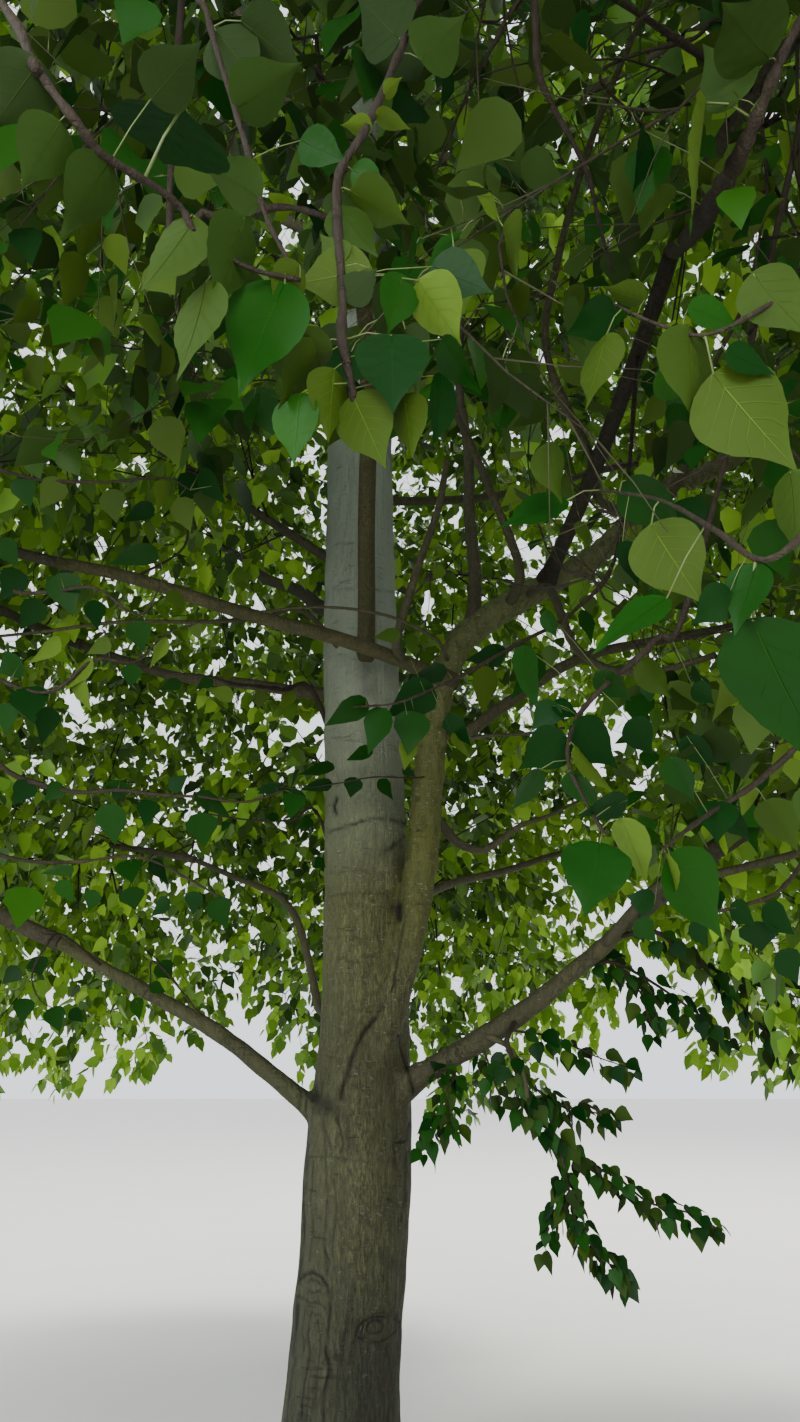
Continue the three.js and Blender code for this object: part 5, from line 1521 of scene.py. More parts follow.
# darkest tint of the bark's marks: their own colour, and painted shade in creases and fissures
MARKS_AND_PAINTED_SHADE_TINT = (0.005, 0.0045, 0.003)
BOUGH_PALE = (0.080, 0.077, 0.040)
BOUGH_DARK = (0.036, 0.033, 0.017)
BOUGH_GREEN = (0.040, 0.046, 0.017)
FRONT_BOUGH_PALE = (0.038, 0.033, 0.020)
FRONT_BOUGH_DARK = (0.012, 0.010, 0.006)
FRONT_BOUGH_GREEN = (0.024, 0.024, 0.011)
OLIVE_BOUGH_PALE = (0.088, 0.086, 0.036)
OLIVE_BOUGH_DARK = (0.036, 0.034, 0.014)
STEM_PALE = (0.07, 0.068, 0.042)
STEM_DARK = (0.034, 0.03, 0.018)
TWIG_PALE = (0.042, 0.032, 0.018)
TWIG_DARK = (0.016, 0.011, 0.007)
STALK_TINT = (0.07, 0.1, 0.02)
SHOOT_TINT = (0.034, 0.034, 0.013)

# The bark's patterns: the noise's scale along X, Y and Z, its own scale, detail and roughness, and
# the two levels that it sets in between
BARK_PATTERNS = {
    "patches": ((1, 1, 0.4), 5.0, 4.0, 0.55, 0.35, 0.68),
    "streaks": ((1, 1, 0.05), 30.0, 4.0, 0.65, 0.42, 0.66),
    "moss": ((1, 1, 0.3), 2.6, 3.0, 0.55, 0.46, 0.68),
    "grain": ((1, 1, 0.3), 80.0, 6.0, 0.75, 0.42, 0.6),
    "fibres": ((1, 1, 0.18), 230.0, 2.0, 0.6, 0.44, 0.58),
    "scales": ((1, 1, 0.45), 38.0, 5.0, 0.7, 0.5, 0.62),
    "pores": ((0.4, 0.4, 1), 110.0, 3.0, 0.6, 0.58, 0.68),
    "pored": ((1, 1, 1), 9.0, 2.0, 0.55, 0.35, 0.6),
    "rings": ((0.12, 0.12, 1), 70.0, 3.0, 0.7, 0.58, 0.72),
    "ringed": ((1, 1, 0.6), 12.0, 2.0, 0.55, 0.46, 0.62),
    "cracks": ((1, 1, 0.14), 60.0, 5.0, 0.7, 0.52, 0.62),
    "cracked": ((1, 1, 0.3), 4.0, 3.0, 0.55, 0.45, 0.6),
}
# Where tints of the trunk set in or fade: X for its sides, and heights for the rest
SUNNY_SIDE = (-0.2, 0.06)
MOSSY_SIDE = (-0.23, -0.15)
MOSSY_UP = (1.1, 1.8)
GREYER_UP = (2.3, 3.7)
SHADED_UP = (5.0, 6.0)
SHADED_DOWN = (1.5, 2.5)
FOOT_DOWN = (0.6, 1.1)
CRACKED_DOWN = (0.6, 2.2)


def leaf_materials():
    """The leaves' materials, in the order of their slots: upper sides, undersides, far leaves, stalk."""
    kinds = [("upper", UPPER_TINTS, 0.4, 0.055), ("under", UNDER_TINTS, 0.65, 0.1),
             ("far", FAR_TINTS, 0.5, 0.25)]
    made = [plain_material(f"leaf_{kind}_{index}", tint, roughness, specular)
            for kind, tints, roughness, specular in kinds for index, tint in enumerate(tints)]
    return made + [plain_material("leaf_stalk", STALK_TINT, 0.5)]


def node(tree, kind, inputs, output, **settings):
    """A new shader node's output. Its inputs are numbers and colours, or outputs of other nodes."""
    made = tree.nodes.new(kind)
    for key, value in settings.items():
        setattr(made, key, value)
    for key, value in inputs.items():
        if isinstance(value, bpy.types.NodeSocket):
            tree.links.new(value, made.inputs[key])
        else:
            made.inputs[key].default_value = value
    return made.outputs[output]


def ramp(tree, source, low, high, low_value=0.0, high_value=1.0):
    inputs = {"Value": source, "From Min": low, "From Max": high,
              "To Min": low_value, "To Max": high_value}
    return node(tree, "ShaderNodeMapRange", inputs, "Result")


def mixed(tree, factor, first, second, blend="MIX"):
    """A tint mixed into another one. Each is red, green and blue, or a node's output."""
    first, second = ((*tint, 1) if isinstance(tint, tuple) else tint for tint in (first, second))
    inputs = {0: factor, 6: first, 7: second}
    return node(tree, "ShaderNodeMix", inputs, 2, data_type="RGBA", blend_type=blend)


def times(tree, first, second):
    return node(tree, "ShaderNodeMath", {0: first, 1: second}, 0, operation="MULTIPLY")


def noise(tree, source, scale, detail=4.0, roughness=0.55):
    inputs = {"Vector": source, "Scale": scale, "Detail": detail, "Roughness": roughness}
    return node(tree, "ShaderNodeTexNoise", inputs, "Fac")


def attribute(tree, name):
    return node(tree, "ShaderNodeAttribute", {}, "Fac", attribute_name=name)


def part_of(tree, place, axis):
    return node(tree, "ShaderNodeSeparateXYZ", {"Vector": place}, axis)


def bark_patterns(tree, place):
    """The bark's patterns by name, as plain noise and as shares between their two levels."""
    plain, shares = {}, {}
    for name, (squash, scale, detail, roughness, low, high) in BARK_PATTERNS.items():
        mapped = node(tree, "ShaderNodeMapping", {"Vector": place, "Scale": squash}, "Vector")
        plain[name] = noise(tree, mapped, scale, detail, roughness)
        shares[name] = ramp(tree, plain[name], low, high)
    return plain, shares


def trunk_tints(tree, tint, place, height, scales):
    """The trunk's side painted as sunlit and its mossy side, its greyer upper part with painted shade above
    it, and the tints of its limbs.
    """
    across = part_of(tree, place, "X")
    # painted sunlight: the left side of the trunk tinted lighter
    sunny = ramp(tree, across, *SUNNY_SIDE, 1.0, 0.0)
    tint = mixed(tree, times(tree, sunny, 0.3), tint, BARK_SUNNY)
    mossy = times(tree, ramp(tree, across, *MOSSY_SIDE, 1.0, 0.0), ramp(tree, height, *MOSSY_UP))
    tint = mixed(tree, times(tree, mossy, 0.6), tint, MOSS_TINT)
    tint = mixed(tree, times(tree, ramp(tree, height, *GREYER_UP), 0.75), tint, BARK_HIGH)
    # painted shade: the trunk tinted darker high up, inside the crown
    tint = mixed(tree, ramp(tree, height, *SHADED_UP), tint, UPPER_SHADE, "MULTIPLY")
    second = attribute(tree, "second")
    tint = mixed(tree, times(tree, second, 0.85), tint, SECOND_STEM_TINT)
    tint = mixed(tree, times(tree, times(tree, scales, second), 0.55), tint, SECOND_STEM_DARK)
    return mixed(tree, times(tree, attribute(tree, "low"), 0.7), tint, LOW_BOUGH_TINT)


def bark_bump(tree, plain, raised_by):
    raised = times(tree, plain["grain"], 0.35)
    for source, share in raised_by:
        raised = node(tree, "ShaderNodeMath", {0: raised, 1: times(tree, source, share)}, 0)
    inputs = {"Height": raised, "Strength": 1.0, "Distance": 0.006}
    return node(tree, "ShaderNodeBump", inputs, "Normal")


def bark_material(name, pale, dark, green, trunk=False):
    """Smooth poplar bark: patches of tint, rings of lenticels, and fissures low on the trunk. On the trunk,
    also painted light and shade.
    """
    material, shader = new_material(name, 0.8, 0.25)
    tree = material.node_tree
    place = node(tree, "ShaderNodeTexCoord", {}, "Object")
    height = part_of(tree, place, "Z")
    plain, shares = bark_patterns(tree, place)
    tint = pale
    for pattern, amount, tone in (("patches", 0.6, dark), ("streaks", 0.5 if trunk else 0.6, dark),
                                  ("moss", 0.8, green), ("grain", 0.85, dark), ("fibres", 0.6, dark)):
        tint = mixed(tree, times(tree, shares[pattern], amount), tint, tone)
    if trunk:
        tint = trunk_tints(tree, tint, place, height, shares["scales"])
    pores = times(tree, shares["pores"], shares["pored"])
    tint = mixed(tree, times(tree, pores, 0.65), tint, SPECK_TINT if trunk else pale)
    rings = times(tree, shares["rings"], shares["ringed"])
    tint = mixed(tree, times(tree, rings, 0.5), tint, RING_TINT)
    low_down = ramp(tree, height, *CRACKED_DOWN, 1.0, 0.15 if trunk else 0.0)
    cracks = times(tree, times(tree, shares["cracks"], low_down), shares["cracked"])
    # painted shade: the trunk tinted darker low down, and darker still at its foot
    if trunk:
        tint = mixed(tree, ramp(tree, height, *SHADED_DOWN, 0.72, 0.0), tint, LOW_SHADE, "MULTIPLY")
        tint = mixed(tree, ramp(tree, height, *FOOT_DOWN, 1.0, 0.0), tint, FOOT_SHADE, "MULTIPLY")
    tint = mixed(tree, times(tree, cracks, 0.8), tint, CRACK_TINT)
    # Dark marks: the own colour of knots and scars, and painted shade in the creases where limbs join and
    # along the fissures
    if trunk:
        tint = mixed(tree, attribute(tree, "marks_and_painted_shade"), tint, MARKS_AND_PAINTED_SHADE_TINT)
    tree.links.new(tint, shader.inputs["Base Color"])
    tree.links.new(ramp(tree, plain["grain"], 0.3, 0.8, 0.72, 0.9), shader.inputs["Roughness"])
    raised_by = ((rings, -0.8), (cracks, -1.8), (shares["patches"], 0.3),
                 (shares["streaks"], -0.5), (pores, 0.6), (plain["fibres"], 0.3))
    tree.links.new(bark_bump(tree, plain, raised_by), shader.inputs["Normal"])
    return material


def floor_material():
    """Pale studio floor with a faint unevenness."""
    material, shader = new_material("floor", 0.85, 0.2)
    tree = material.node_tree
    place = node(tree, "ShaderNodeTexCoord", {}, "Object")
    tint = mixed(tree, noise(tree, place, 1.5), (0.80, 0.78, 0.74), (0.86, 0.84, 0.80))
    tree.links.new(tint, shader.inputs["Base Color"])
    return material


# Bark with relief

BARK_VOXEL = 0.0125
MARK_REACHES = ((2.2, 2.5), (0.9, 1.35))  # pixels round a mark and height that faces are split to
MARK_RAGGED = 0.7            # how far a mark strays from its line, in pixels
RELIEF_TOP = 5.0
FOOT_SHIFT = -0.036          # the foot stands a little to the left, as the photograph shows it
FOOT_SHIFT_TOP = 0.98
FOOT_WIDER = 0.05            # the swelling above the foot, round the two knots
FOOT_WIDEST = 0.8
FOOT_WIDE_SPAN = 0.25
SWELLING = 0.003
SWELLING_WAVES = (0.12, 0.5, 16, 5, 0.6)    # shortest, longest, how many, their seed, and squash
UNEVENNESS = 0.0008
UNEVENNESS_WAVES = (0.03, 0.09, 16, 6, 0.5)
SCALE_DEPTH = 0.003          # on the second stem
SCALE_WAVES = (0.025, 0.07, 20, 8, 0.5)
FURROW_DEPTH = 0.0022
FURROW_WAVES = (0.03, 0.09, 24, 9, 0.16)
FURROWED_TOP = 2.0
FURROWED_FADE = 1.3
SECOND_STEM_RISE = (1.9, 0.6)   # the second stem's looks set in from this height, over so much
LOW_BOUGH_RISE = (0.2, 0.15)    # the low boughs' set in from this distance from the axis
TRUNK_SIDES = 64
TRUNK_SPACING = 0.05
UPPER_TRUNK_SIDES = 40
UPPER_TRUNK_SPACING = 0.06
UPPER_TRUNK_OVERLAP = 0.02
REMESHED_SIDES = 28
SMOOTHING_ROUNDS = 3
FRONT_BOUGH_SIDES = 20
BOUGH_SIDES = 14
SEEN_LIMB_SIDES = 10
SEEN_LIMB_ROUGHNESS = 0.06
LIMB_NEAR = 0.01
LIMB_FADE = 0.05
MARKED_LEAST = 0.3
MARKS_END = 5.2               # metres from the camera
STRAY_WAVES = (0.05, 0.25, 16)
STRAY_SEEDS = (21, 22)
UNEVEN_WAVES = (0.04, 0.16, 16, 23)
DARK_BOUGHS = ["bough_front_right"]
OLIVE_BOUGHS = ["bough_front", "bough_left_front"]
REMESHED = ["second_stem_lower", "second_stem_upper", "bough_low_left", "bough_low_right"]


def trunk_tube(low, high, sides, spacing):
    heights = np.linspace(low, high, int((high - low) / spacing) + 1)
    middle = trunk_middle(heights)
    angles = np.arange(sides) / sides * 2 * np.pi
    lobe = ROOT_LOBE_DEPTH * np.exp(-heights / ROOT_FLARE_HEIGHT)
    radius = trunk_radius(heights)[:, None] * (1 + lobe[:, None] * np.cos(ROOT_LOBES * angles))
    across = middle[:, None, 0] + radius * np.cos(angles)
    ahead = middle[:, None, 1] + radius * np.sin(angles)
    rings = np.stack([across, ahead, np.broadcast_to(heights[:, None], radius.shape)], axis=2)
    return rings.reshape(-1, 3), tube_pattern(len(heights), sides)


def limb_tube(name, sides):
    limb = limbs[name]
    return tube_mesh(limb["line"][None], limb["line_radii"][None], sides)


def evaluated_copy(piece, name):
    graph = bpy.context.evaluated_depsgraph_get()
    mesh = bpy.data.meshes.new_from_object(piece.evaluated_get(graph))
    mesh.name = name
    bpy.data.objects.remove(piece)
    return mesh


def mesh_values(items, key, width, kind=np.float32):
    """A value of every vertex or edge of a mesh, in rows."""
    values = np.empty(len(items) * width, kind)
    items.foreach_get(key, values)
    return values.reshape(-1, width)


def corners_of(mesh):
    return mesh_values(mesh.vertices, "co", 3).astype(float)


def set_corners(mesh, corners):
    mesh.vertices.foreach_set("co", corners.astype(np.float32).ravel())
    mesh.update()


def smoothed(corners, edges, rounds):
    """Corners moved halfway to the mean of their neighbours, in each of some rounds."""
    counts = np.bincount(edges.ravel(), minlength=len(corners))[:, None]
    for _ in range(rounds):
        total = np.zeros_like(corners)
        for axis in range(3):
            for near, far in (edges.T, edges.T[::-1]):
                total[:, axis] += np.bincount(near, corners[far, axis], len(corners))
        corners = corners + (total / counts - corners) * 0.5
    return corners


def waves(points, shortest, longest, count, seed, squash=1.0):
    """A smooth random height for each point, about from -1 to 1, from plane waves."""
    random = np.random.default_rng(seed)
    total = np.zeros(len(points))
    scaled = points * np.array([1, 1, squash])
    for _ in range(count):
        direction = unit(random.normal(size=3))
        length = random.uniform(shortest, longest)
        total += np.sin(scaled @ direction * 2 * np.pi / length + random.uniform(0, 6.28))
    return total / math.sqrt(count)


def distance_to_line(points, line):
    """Each point's distance to a line of points."""
    squares = [squared_distance(points, start, end) for start, end in zip(line, line[1:])]
    return np.sqrt(np.min(squares, axis=0))


def bark_marks(corners, normals, wider=0.0):
    """Depth, darkness and closeness of the marks on the side of the bark that the camera sees. The darkness
    is partly the marks' own colour and partly painted shade in creases and fissures.
    """
    spots, depth = pixels_of(corners)
    strays = [waves(corners, *STRAY_WAVES, seed, 0.8) for seed in STRAY_SEEDS]
    spots = spots + MARK_RAGGED * np.stack(strays, axis=1)
    facing = np.clip(-np.sum(normals * unit(corners - CAMERA), axis=1) * 4, 0, 1)
    uneven = np.clip(1 + 0.4 * waves(corners, *UNEVEN_WAVES), 0.5, 1)
    facing = facing * (depth < MARKS_END) * uneven
    sunk, marks_and_painted_shade, marked = np.zeros((3, len(corners)))
    for width, deep, dark, line in BARK_MARKS:
        apart = distance_to_line(spots, np.array(line, float))
        close = np.exp(-(apart / (width + wider)) ** 2) * facing
        sunk += deep * close
        marks_and_painted_shade = np.maximum(marks_and_painted_shade, dark * close)
        marked = np.maximum(marked, close)
    return sunk, marks_and_painted_shade, marked


def mesh_normals(mesh):
    return mesh_values(mesh.vertices, "normal", 3).astype(float)


def refine_marks(mesh, reach, top):
    """Halves the edges of the faces that carry a mark, up to a height."""
    corners = corners_of(mesh)
    _, _, marked = bark_marks(corners, mesh_normals(mesh), reach)
    marked *= corners[:, 2] < top
    shape = bmesh.new()
    shape.from_mesh(mesh)
    chosen = [edge for edge in shape.edges
              if min(marked[vertex.index] for vertex in edge.verts) > MARKED_LEAST]
    bmesh.ops.subdivide_edges(shape, edges=chosen, cuts=1, use_grid_fill=True)
    shape.to_mesh(mesh)
    shape.free()
    mesh.update()


def limb_closeness(corners, names):
    """1 on the surface of some limbs, falling to 0 over a few centimetres away from them."""
    gaps = []
    for limb in (limbs[name] for name in names):
        for start, end, radius in zip(limb["line"], limb["line"][1:], limb["line_radii"]):
            gaps.append(np.sqrt(squared_distance(corners, start, end)) - radius)
    return np.clip(1 - (np.min(gaps, axis=0) - LIMB_NEAR) / LIMB_FADE, 0, 1)


def set_attribute(mesh, name, values):
    attribute = mesh.attributes.new(name, "FLOAT", "POINT")
    attribute.data.foreach_set("value", values.astype(np.float32))


def bark_mesh():
    """The trunk, the second stem and the lowest boughs joined into one mesh of even faces."""
    parts = [trunk_tube(0, RELIEF_TOP, TRUNK_SIDES, TRUNK_SPACING)]
    parts += [limb_tube(name, REMESHED_SIDES) for name in REMESHED]
    union = make_object("union", *joined_meshes(parts), [])
    remesh = union.modifiers.new("remesh", "REMESH")
    remesh.mode = "VOXEL"
    remesh.voxel_size = BARK_VOXEL
    return evaluated_copy(union, "trunk_bark")


def shape_foot(mesh):
    """Smooths the bark, and moves and widens its foot to what the photograph shows."""
    edges = mesh_values(mesh.edges, "vertices", 2, np.int32)
    corners = smoothed(corners_of(mesh), edges, SMOOTHING_ROUNDS)
    heights = corners[:, 2:]
    corners[:, :2] *= 1 + FOOT_WIDER * np.exp(-((heights - FOOT_WIDEST) / FOOT_WIDE_SPAN) ** 2)
    corners[:, 0] += FOOT_SHIFT * np.clip(1 - corners[:, 2] / FOOT_SHIFT_TOP, 0, 1)
    set_corners(mesh, corners)


def bark_relief(corners, second):
    """How far the bark's skin stands out: broad swellings, scales and low furrows."""
    relief = SWELLING * waves(corners, *SWELLING_WAVES) + UNEVENNESS * waves(corners, *UNEVENNESS_WAVES)
    relief += second * SCALE_DEPTH * waves(corners, *SCALE_WAVES)
    furrowed = np.clip((FURROWED_TOP - corners[:, 2]) / FURROWED_FADE, 0, 1)
    return relief + furrowed * FURROW_DEPTH * waves(corners, *FURROW_WAVES)


def make_bark():
    mesh = bark_mesh()
    shape_foot(mesh)
    for reach, top in MARK_REACHES:
        refine_marks(mesh, reach, top)
    corners, normals = corners_of(mesh), mesh_normals(mesh)
    second = limb_closeness(corners, ["second_stem_lower", "second_stem_upper"])
    second *= rising(corners[:, 2], *SECOND_STEM_RISE)
    low = limb_closeness(corners, ["bough_low_left", "bough_low_right"])
    low *= rising(np.hypot(corners[:, 0], corners[:, 1]), *LOW_BOUGH_RISE)
    sunk, marks_and_painted_shade, _ = bark_marks(corners, normals)
    corners = corners + normals * (bark_relief(corners, second) + sunk)[:, None]
    corners[:, 2] = np.maximum(corners[:, 2], 0)
    set_corners(mesh, corners)
    for name, values in (("marks_and_painted_shade", marks_and_painted_shade), ("second", second), ("low", low)):
        set_attribute(mesh, name, values)
    mesh.polygons.foreach_set("use_smooth", np.ones(len(mesh.polygons), bool))
    mesh.materials.append(bark_material("bark_trunk", BARK_PALE, BARK_DARK, BARK_GREEN, True))
    mesh.update()
    return new_object("trunk_bark", mesh)


def make_limb_bark():
    """The boughs outside the remeshed bark, the dark and the olive ones in front apart."""
    plain = bark_material("bark_boughs", BOUGH_PALE, BOUGH_DARK, BOUGH_GREEN)
    dark = bark_material("bark_front_boughs", FRONT_BOUGH_PALE, FRONT_BOUGH_DARK, FRONT_BOUGH_GREEN)
    olive = bark_material("bark_olive_boughs", OLIVE_BOUGH_PALE, OLIVE_BOUGH_DARK, BOUGH_GREEN)
    outside = REMESHED + DARK_BOUGHS + OLIVE_BOUGHS
    rest = [row["name"] for row in limb_rows if row["name"] not in outside]
    parts = [limb_tube(name, BOUGH_SIDES) for name in rest]
    parts += [seen_tube(row, SEEN_LIMB_SIDES, SEEN_LIMB_ROUGHNESS, index)
              for index, row in enumerate(SEEN_LIMBS)]
    make_piece("bough_bark", joined_meshes(parts), plain, rest)
    for kind, members, material in (("front", DARK_BOUGHS, dark), ("olive", OLIVE_BOUGHS, olive)):
        mesh = joined_meshes([limb_tube(name, FRONT_BOUGH_SIDES) for name in members])
        make_piece(f"{kind}_bough_bark", mesh, material, members)
    pale = bark_material("bark_upper_trunk", BARK_PALE, BARK_DARK, BARK_GREEN, True)
    start = RELIEF_TOP - UPPER_TRUNK_OVERLAP
    upper = trunk_tube(start, TRUNK_TOP, UPPER_TRUNK_SIDES, UPPER_TRUNK_SPACING)
    make_piece("upper_trunk_bark", upper, pale, ["trunk"])


# Foliage

def tint_of(leaves, mean, random, count):
    """A tint for each leaf: one for its spray, a step lighter or darker for some leaves."""
    spray_tint = random.normal(0, TINT_SPREAD, count)
    own_tint = random.normal(0, OWN_TINT_SPREAD, len(leaves["spray"]))
    return whole_tints(mean + spray_tint[leaves["spray"]] + own_tint)


def lit(leaves):
    """How much lighter the leaves' tints are painted towards the outside of the tree, and low down to its
    sides: painted light.
    """
    across, ahead, height = leaves["base"].T
    outside = (leaves_away(leaves) > LIT_AWAY) | (ahead < LIT_FRONT)
    right = np.clip(across - LIT_SIDES, 0, 1) * (height < LIT_BELOW)
    left = np.clip(-across - LIT_SIDES, 0, 1)
    out = np.clip(np.hypot(across, ahead) - LIT_OUT, 0, 2)
    return SHADE_OUT * out * outside + SHADE_RIGHT * right + SHADE_LEFT * left


def leaves_away(leaves):
    return np.linalg.norm(leaves["base"] - CAMERA, axis=1)


def hides_a_limb(leaves, middle):
    """True for each leaf that would stand in front of a limb that the photograph shows."""
    spots, depth = pixels_of(middle)
    half = HIDING_HALF * leaves["length"] / depth * PIXELS
    hides = np.zeros(len(depth), bool)
    for line_spots, line_depth in clear_lines:
        apart = np.linalg.norm(spots[:, None] - line_spots, axis=2)
        nearest = apart.argmin(axis=1)
        before = (depth < line_depth[nearest]) & (depth > 0)
        hides |= (apart.min(axis=1) < half + HIDING_PIXELS) & before
    return hides


def mass_leaves(mass, shoots, random):
    """The leaves of a mass's shoots, without those outside its space or in front of a limb."""
    leaves = grow_leaves(shoots, LEAF_SPACING, random)
    ahead, height = mass["middle"][1:]
    # The mean tint is painted light and shade: lighter away from the camera and towards the outside, darker
    # low down
    shade = SHADE_TINT + SHADE_BEHIND * ahead - SHADE_LOW * (height < LOW_DOWN)
    leaves["tint"] = tint_of(leaves, shade + lit(leaves), random, len(shoots))
    larger = HIGH_UP_LARGER if height > HIGH_UP else FAR_LARGER if height > LOW_DOWN else LOW_LARGER
    leaves["length"] = leaves["length"] * np.where(leaves_away(leaves) > MIDDLE, larger, 1)
    middle = leaves["base"] + leaves["along"] * (0.5 * leaves["length"])[:, None]
    tip = leaves["base"] + leaves["along"] * leaves["length"][:, None]
    keep = ~in_opening(middle) & ~in_opening(tip) & clear_of_limbs(middle, LEAF_MARGIN)
    keep &= in_reach(tip) & (leaves_away(leaves) > NEAREST) & ~hides_a_limb(leaves, middle)
    beyond = (leaves_away(leaves) > STALKS_SEEN)[:, None]
    leaves["base"] = np.where(beyond, leaves["joint"], leaves["base"])
    return leaves_where(leaves, keep)


def grow_mass(mass):
    """The wood and the leaves of one mass of foliage."""
    random = np.random.default_rng(mass["seed"])
    stem = stems[mass["name"]]
    stem_radii = np.array([stem_radius(mass, share) for share in np.linspace(0, 1, len(stem))])
    stem_radii[-1] *= 0.6
    twigs = grow_twigs(mass, on_curve(*stem_line(mass), STEM_STEPS))
    fine = np.array([rounded(points, random) for points, _ in twigs])
    taper = BRANCHLET_FINENESS * np.linspace(1, BRANCHLET_TAPER, FINE_TWIG_STEPS + 1)
    radii = np.array([radius * taper for _, radius in twigs])
    has_twigs = len(fine) > 0
    parents = [(stem[None], SIDE_TWIGS["on_stem"])] + [(fine, SIDE_TWIGS["on_twigs"])] * has_twigs
    sides = grow_from(mass, parents, SIDE_TWIGS, random)
    for kind in FILLING_TWIGS:
        grown = [stem[None]] + [fine] * has_twigs + [sides]
        sides = np.concatenate([sides, fill_twigs(mass, grown, kind, random)])
    parents = [(stem[None], SHOOTS["on_stem"])] + [(fine, SHOOTS["on_twigs"])] * has_twigs
    parents.append((sides, SHOOTS["on_sides"]))
    cell = CROWDED_CELL * sparseness(mass)
    shoots = thinned(grow_from(mass, parents, SHOOTS, random), cell, random)
    twig_meshes = [tube_mesh(fine, radii, 5)] if has_twigs else []
    return {"stem": tube_mesh(stem[None], stem_radii[None], 10), "twigs": twig_meshes,
            "sides": sides, "shoots": shoots, "leaves": mass_leaves(mass, shoots, random)}


def twig_radii(lines, gain=1.0):
    """Root radius of fine twigs, each thicker the longer it is."""
    return SHOOT_THICKNESS * (0.5 + gain * np.linalg.norm(lines[:, -1] - lines[:, 0], axis=1))


def tapered_mesh(lines, sides, gain=1.0):
    taper = np.linspace(1, 0.4, lines.shape[1])
    return tube_mesh(lines, twig_radii(lines, gain)[:, None] * taper, sides)


def spike_mesh(lines, radii):
    """Straight spikes of four faces each: far shoots, and the stalks of leaves."""
    corners, _ = tube_mesh(lines[:, [0, -1]], radii[:, None] * [[1, 0.0]], 3)
    corners = corners.reshape(-1, 6, 3)[:, :4]
    return repeated(corners, np.array([(0, 1, 3), (1, 2, 3), (2, 0, 3), (0, 2, 1)]))


def leaf_piece(name, parts, nodes):
    """A piece of leaves from several meshes, each with the slots of its faces."""
    mesh = joined_meshes([mesh for mesh, _ in parts])
    slots = np.concatenate([slots for _, slots in parts])
    finish_piece(make_object(name, *mesh, leaf_tints, slots), nodes)


def stalk_part(stalks):
    """Stalks with the slots of their faces."""
    return stalks, np.full(len(stalks[1]), STALK_SLOT)


def near_parts(leaves):
    """The leaves nearest to the camera, with veins a tint lighter on both sides."""
    parts = [two_sided_part(leaves, NEAR_ROWS, NEAR_COLUMNS), stalk_part(stalk_mesh(leaves, 5))]
    for raised, first in ((VEIN_RAISED, 0), (-VEIN_RAISED, UNDER_SLOT)):
        veins, tints = vein_mesh(leaves, raised)
        parts.append((veins, whole_tints(tints + 1) + first))
    return parts


def make_leaves(group, leaves, nodes):
    """A group's leaves as up to three pieces, with more detail nearer to the camera."""
    away = leaves_away(leaves)
    close = away <= np.where(leaves["seen"] > 0, NEAR_SEEN, NEAR)
    beyond = (away > MIDDLE) & (leaves["seen"] == 0)
    leaf_piece(f"leaves_{group}", far_parts(leaves_where(leaves, beyond)), nodes)
    middle = leaves_where(leaves, ~beyond & ~close)
    if len(middle["spray"]):
        parts = [two_sided_part(middle, MIDDLE_ROWS, (-1, 0, 1)), stalk_part(stalk_mesh(middle, 3))]
        leaf_piece(f"leaves_{group}_middle", parts, nodes)
    if close.any():
        leaf_piece(f"leaves_{group}_near", near_parts(leaves_where(leaves, close)), nodes)


def wood_and_leaves(group, grown):
    """The twigs' meshes and the leaves of a group, with those read off the photograph."""
    wood = [mesh for one in grown for mesh in one["twigs"]]
    leaves = [one["leaves"] for one in grown]
    if group == "low":
        seen_wood, seen_leaves = grow_seen_sprays()
        return joined_meshes(wood + seen_wood), joined_leaves(leaves + [seen_leaves])
    if group == "front":
        wood += [seen_tube(row, 9, 0.24, index) for index, row in enumerate(SEEN_TWIGS.values())]
        leaves.append(grow_seen_leaves())
    return joined_meshes(wood), joined_leaves(leaves)


def make_foliage(stem_material, twig_material, shoot_material):
    """Each group's wood in four pieces, and its leaves."""
    for group, members in GROUPS.items():
        nodes = ["foliage_" + member for member in members]
        grown = [grow_mass(mass) for mass in masses
                 if mass["name"] in nodes and not mass.get("droop")]
        wood, leaves = wood_and_leaves(group, grown)
        sides = np.concatenate([one["sides"] for one in grown])
        shoots = np.concatenate([one["shoots"] for one in grown])
        if group == "front":
            sides, shoots = tapered_mesh(sides, 4, SIDE_TWIG_GAIN), tapered_mesh(shoots, 3)
        else:
            sides = tapered_mesh(sides[:, ::2], 3, SIDE_TWIG_GAIN)
            shoots = spike_mesh(shoots, twig_radii(shoots))
        stem = joined_meshes([one["stem"] for one in grown])
        for kind, mesh, material in (
                ("stems", stem, stem_material), ("twigs", wood, twig_material),
                ("side_twigs", sides, twig_material), ("shoots", shoots, shoot_material)):
            make_piece(f"{kind}_{group}", mesh, material, nodes)
        make_leaves(group, leaves, nodes)


# Stage

FLOOR_HALF = 60
SKY_COLOR = (0.93, 0.96, 1.0, 1)
SKY_STRENGTH = 1.6
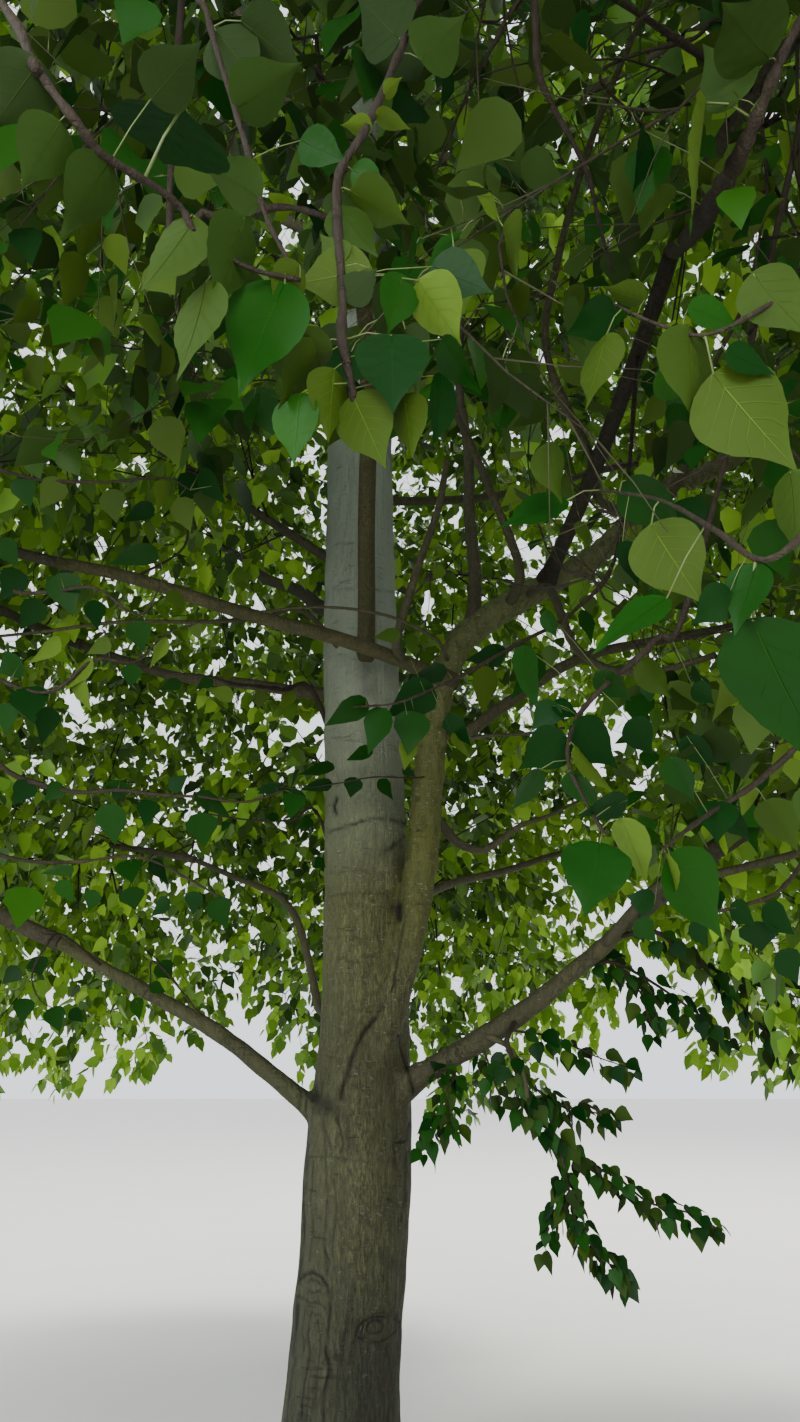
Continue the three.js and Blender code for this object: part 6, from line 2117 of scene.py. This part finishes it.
# Name, place, what it aims at, size, power and colour
LIGHTS = [
    ("key", (9, 8, 17), (0, 0, 6), 7, 3800, (1.0, 0.97, 0.9)),
    ("fill", (-10, -9, 6), (0, 0, 3.5), 9, 2000, (0.92, 0.96, 1.0)),
    ("low_fill", (1, -15, 1.8), (0, 0, 3.5), 6, 1900, (1.0, 1.0, 0.94)),
]


def make_stage():
    half = FLOOR_HALF
    corners = np.array([(-half, -half, 0), (half, -half, 0), (half, half, 0), (-half, half, 0)], float)
    triangles = np.array([(0, 1, 2), (0, 2, 3)])
    floor = make_object("floor", corners, triangles, [floor_material()], smooth=False)
    floor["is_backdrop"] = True
    world = bpy.data.worlds.new("studio")
    world.use_nodes = True
    background = world.node_tree.nodes["Background"]
    background.inputs["Color"].default_value = SKY_COLOR
    background.inputs["Strength"].default_value = SKY_STRENGTH
    bpy.context.scene.world = world


def add_light(name, place, target, size, power, color):
    data = bpy.data.lights.new(name, "AREA")
    data.shape = "DISK"
    data.size = size
    data.energy = power
    data.color = color
    lamp = new_object(name, data)
    lamp.location = place
    aim = Vector(target) - Vector(place)
    lamp.rotation_euler = aim.to_track_quat("-Z", "Y").to_euler()


def make_camera():
    data = bpy.data.cameras.new("camera")
    data.lens = CAMERA_LENS
    data.sensor_width = SENSOR
    data.clip_start = 0.05
    data.clip_end = 300
    camera = new_object("camera", data)
    camera.location = CAMERA
    camera.rotation_euler = (math.pi / 2 + CAMERA_PITCH, 0, 0)
    bpy.context.scene.camera = camera


ring_boughs, ring_masses = ring_rows()
limb_rows = BOUGHS + ring_boughs
masses = planned_masses(MASSES + ring_masses)
limbs = grow_limbs(limb_rows)
pieces = limb_pieces(limbs)
stems = {mass["name"]: on_curve(*stem_line(mass), STEM_RINGS) for mass in masses}
clear_lines = lines_in_view()
leaf_tints = leaf_materials()

make_stage()
for light in LIGHTS:
    add_light(*light)
make_camera()
finish_piece(make_bark(), ["trunk"] + REMESHED)
make_limb_bark()
make_foliage(bark_material("bark_stems", STEM_PALE, STEM_DARK, BOUGH_GREEN),
             bark_material("bark_twigs", TWIG_PALE, TWIG_DARK, TWIG_DARK),
             plain_material("shoot_bark", SHOOT_TINT, 0.7, 0.3))
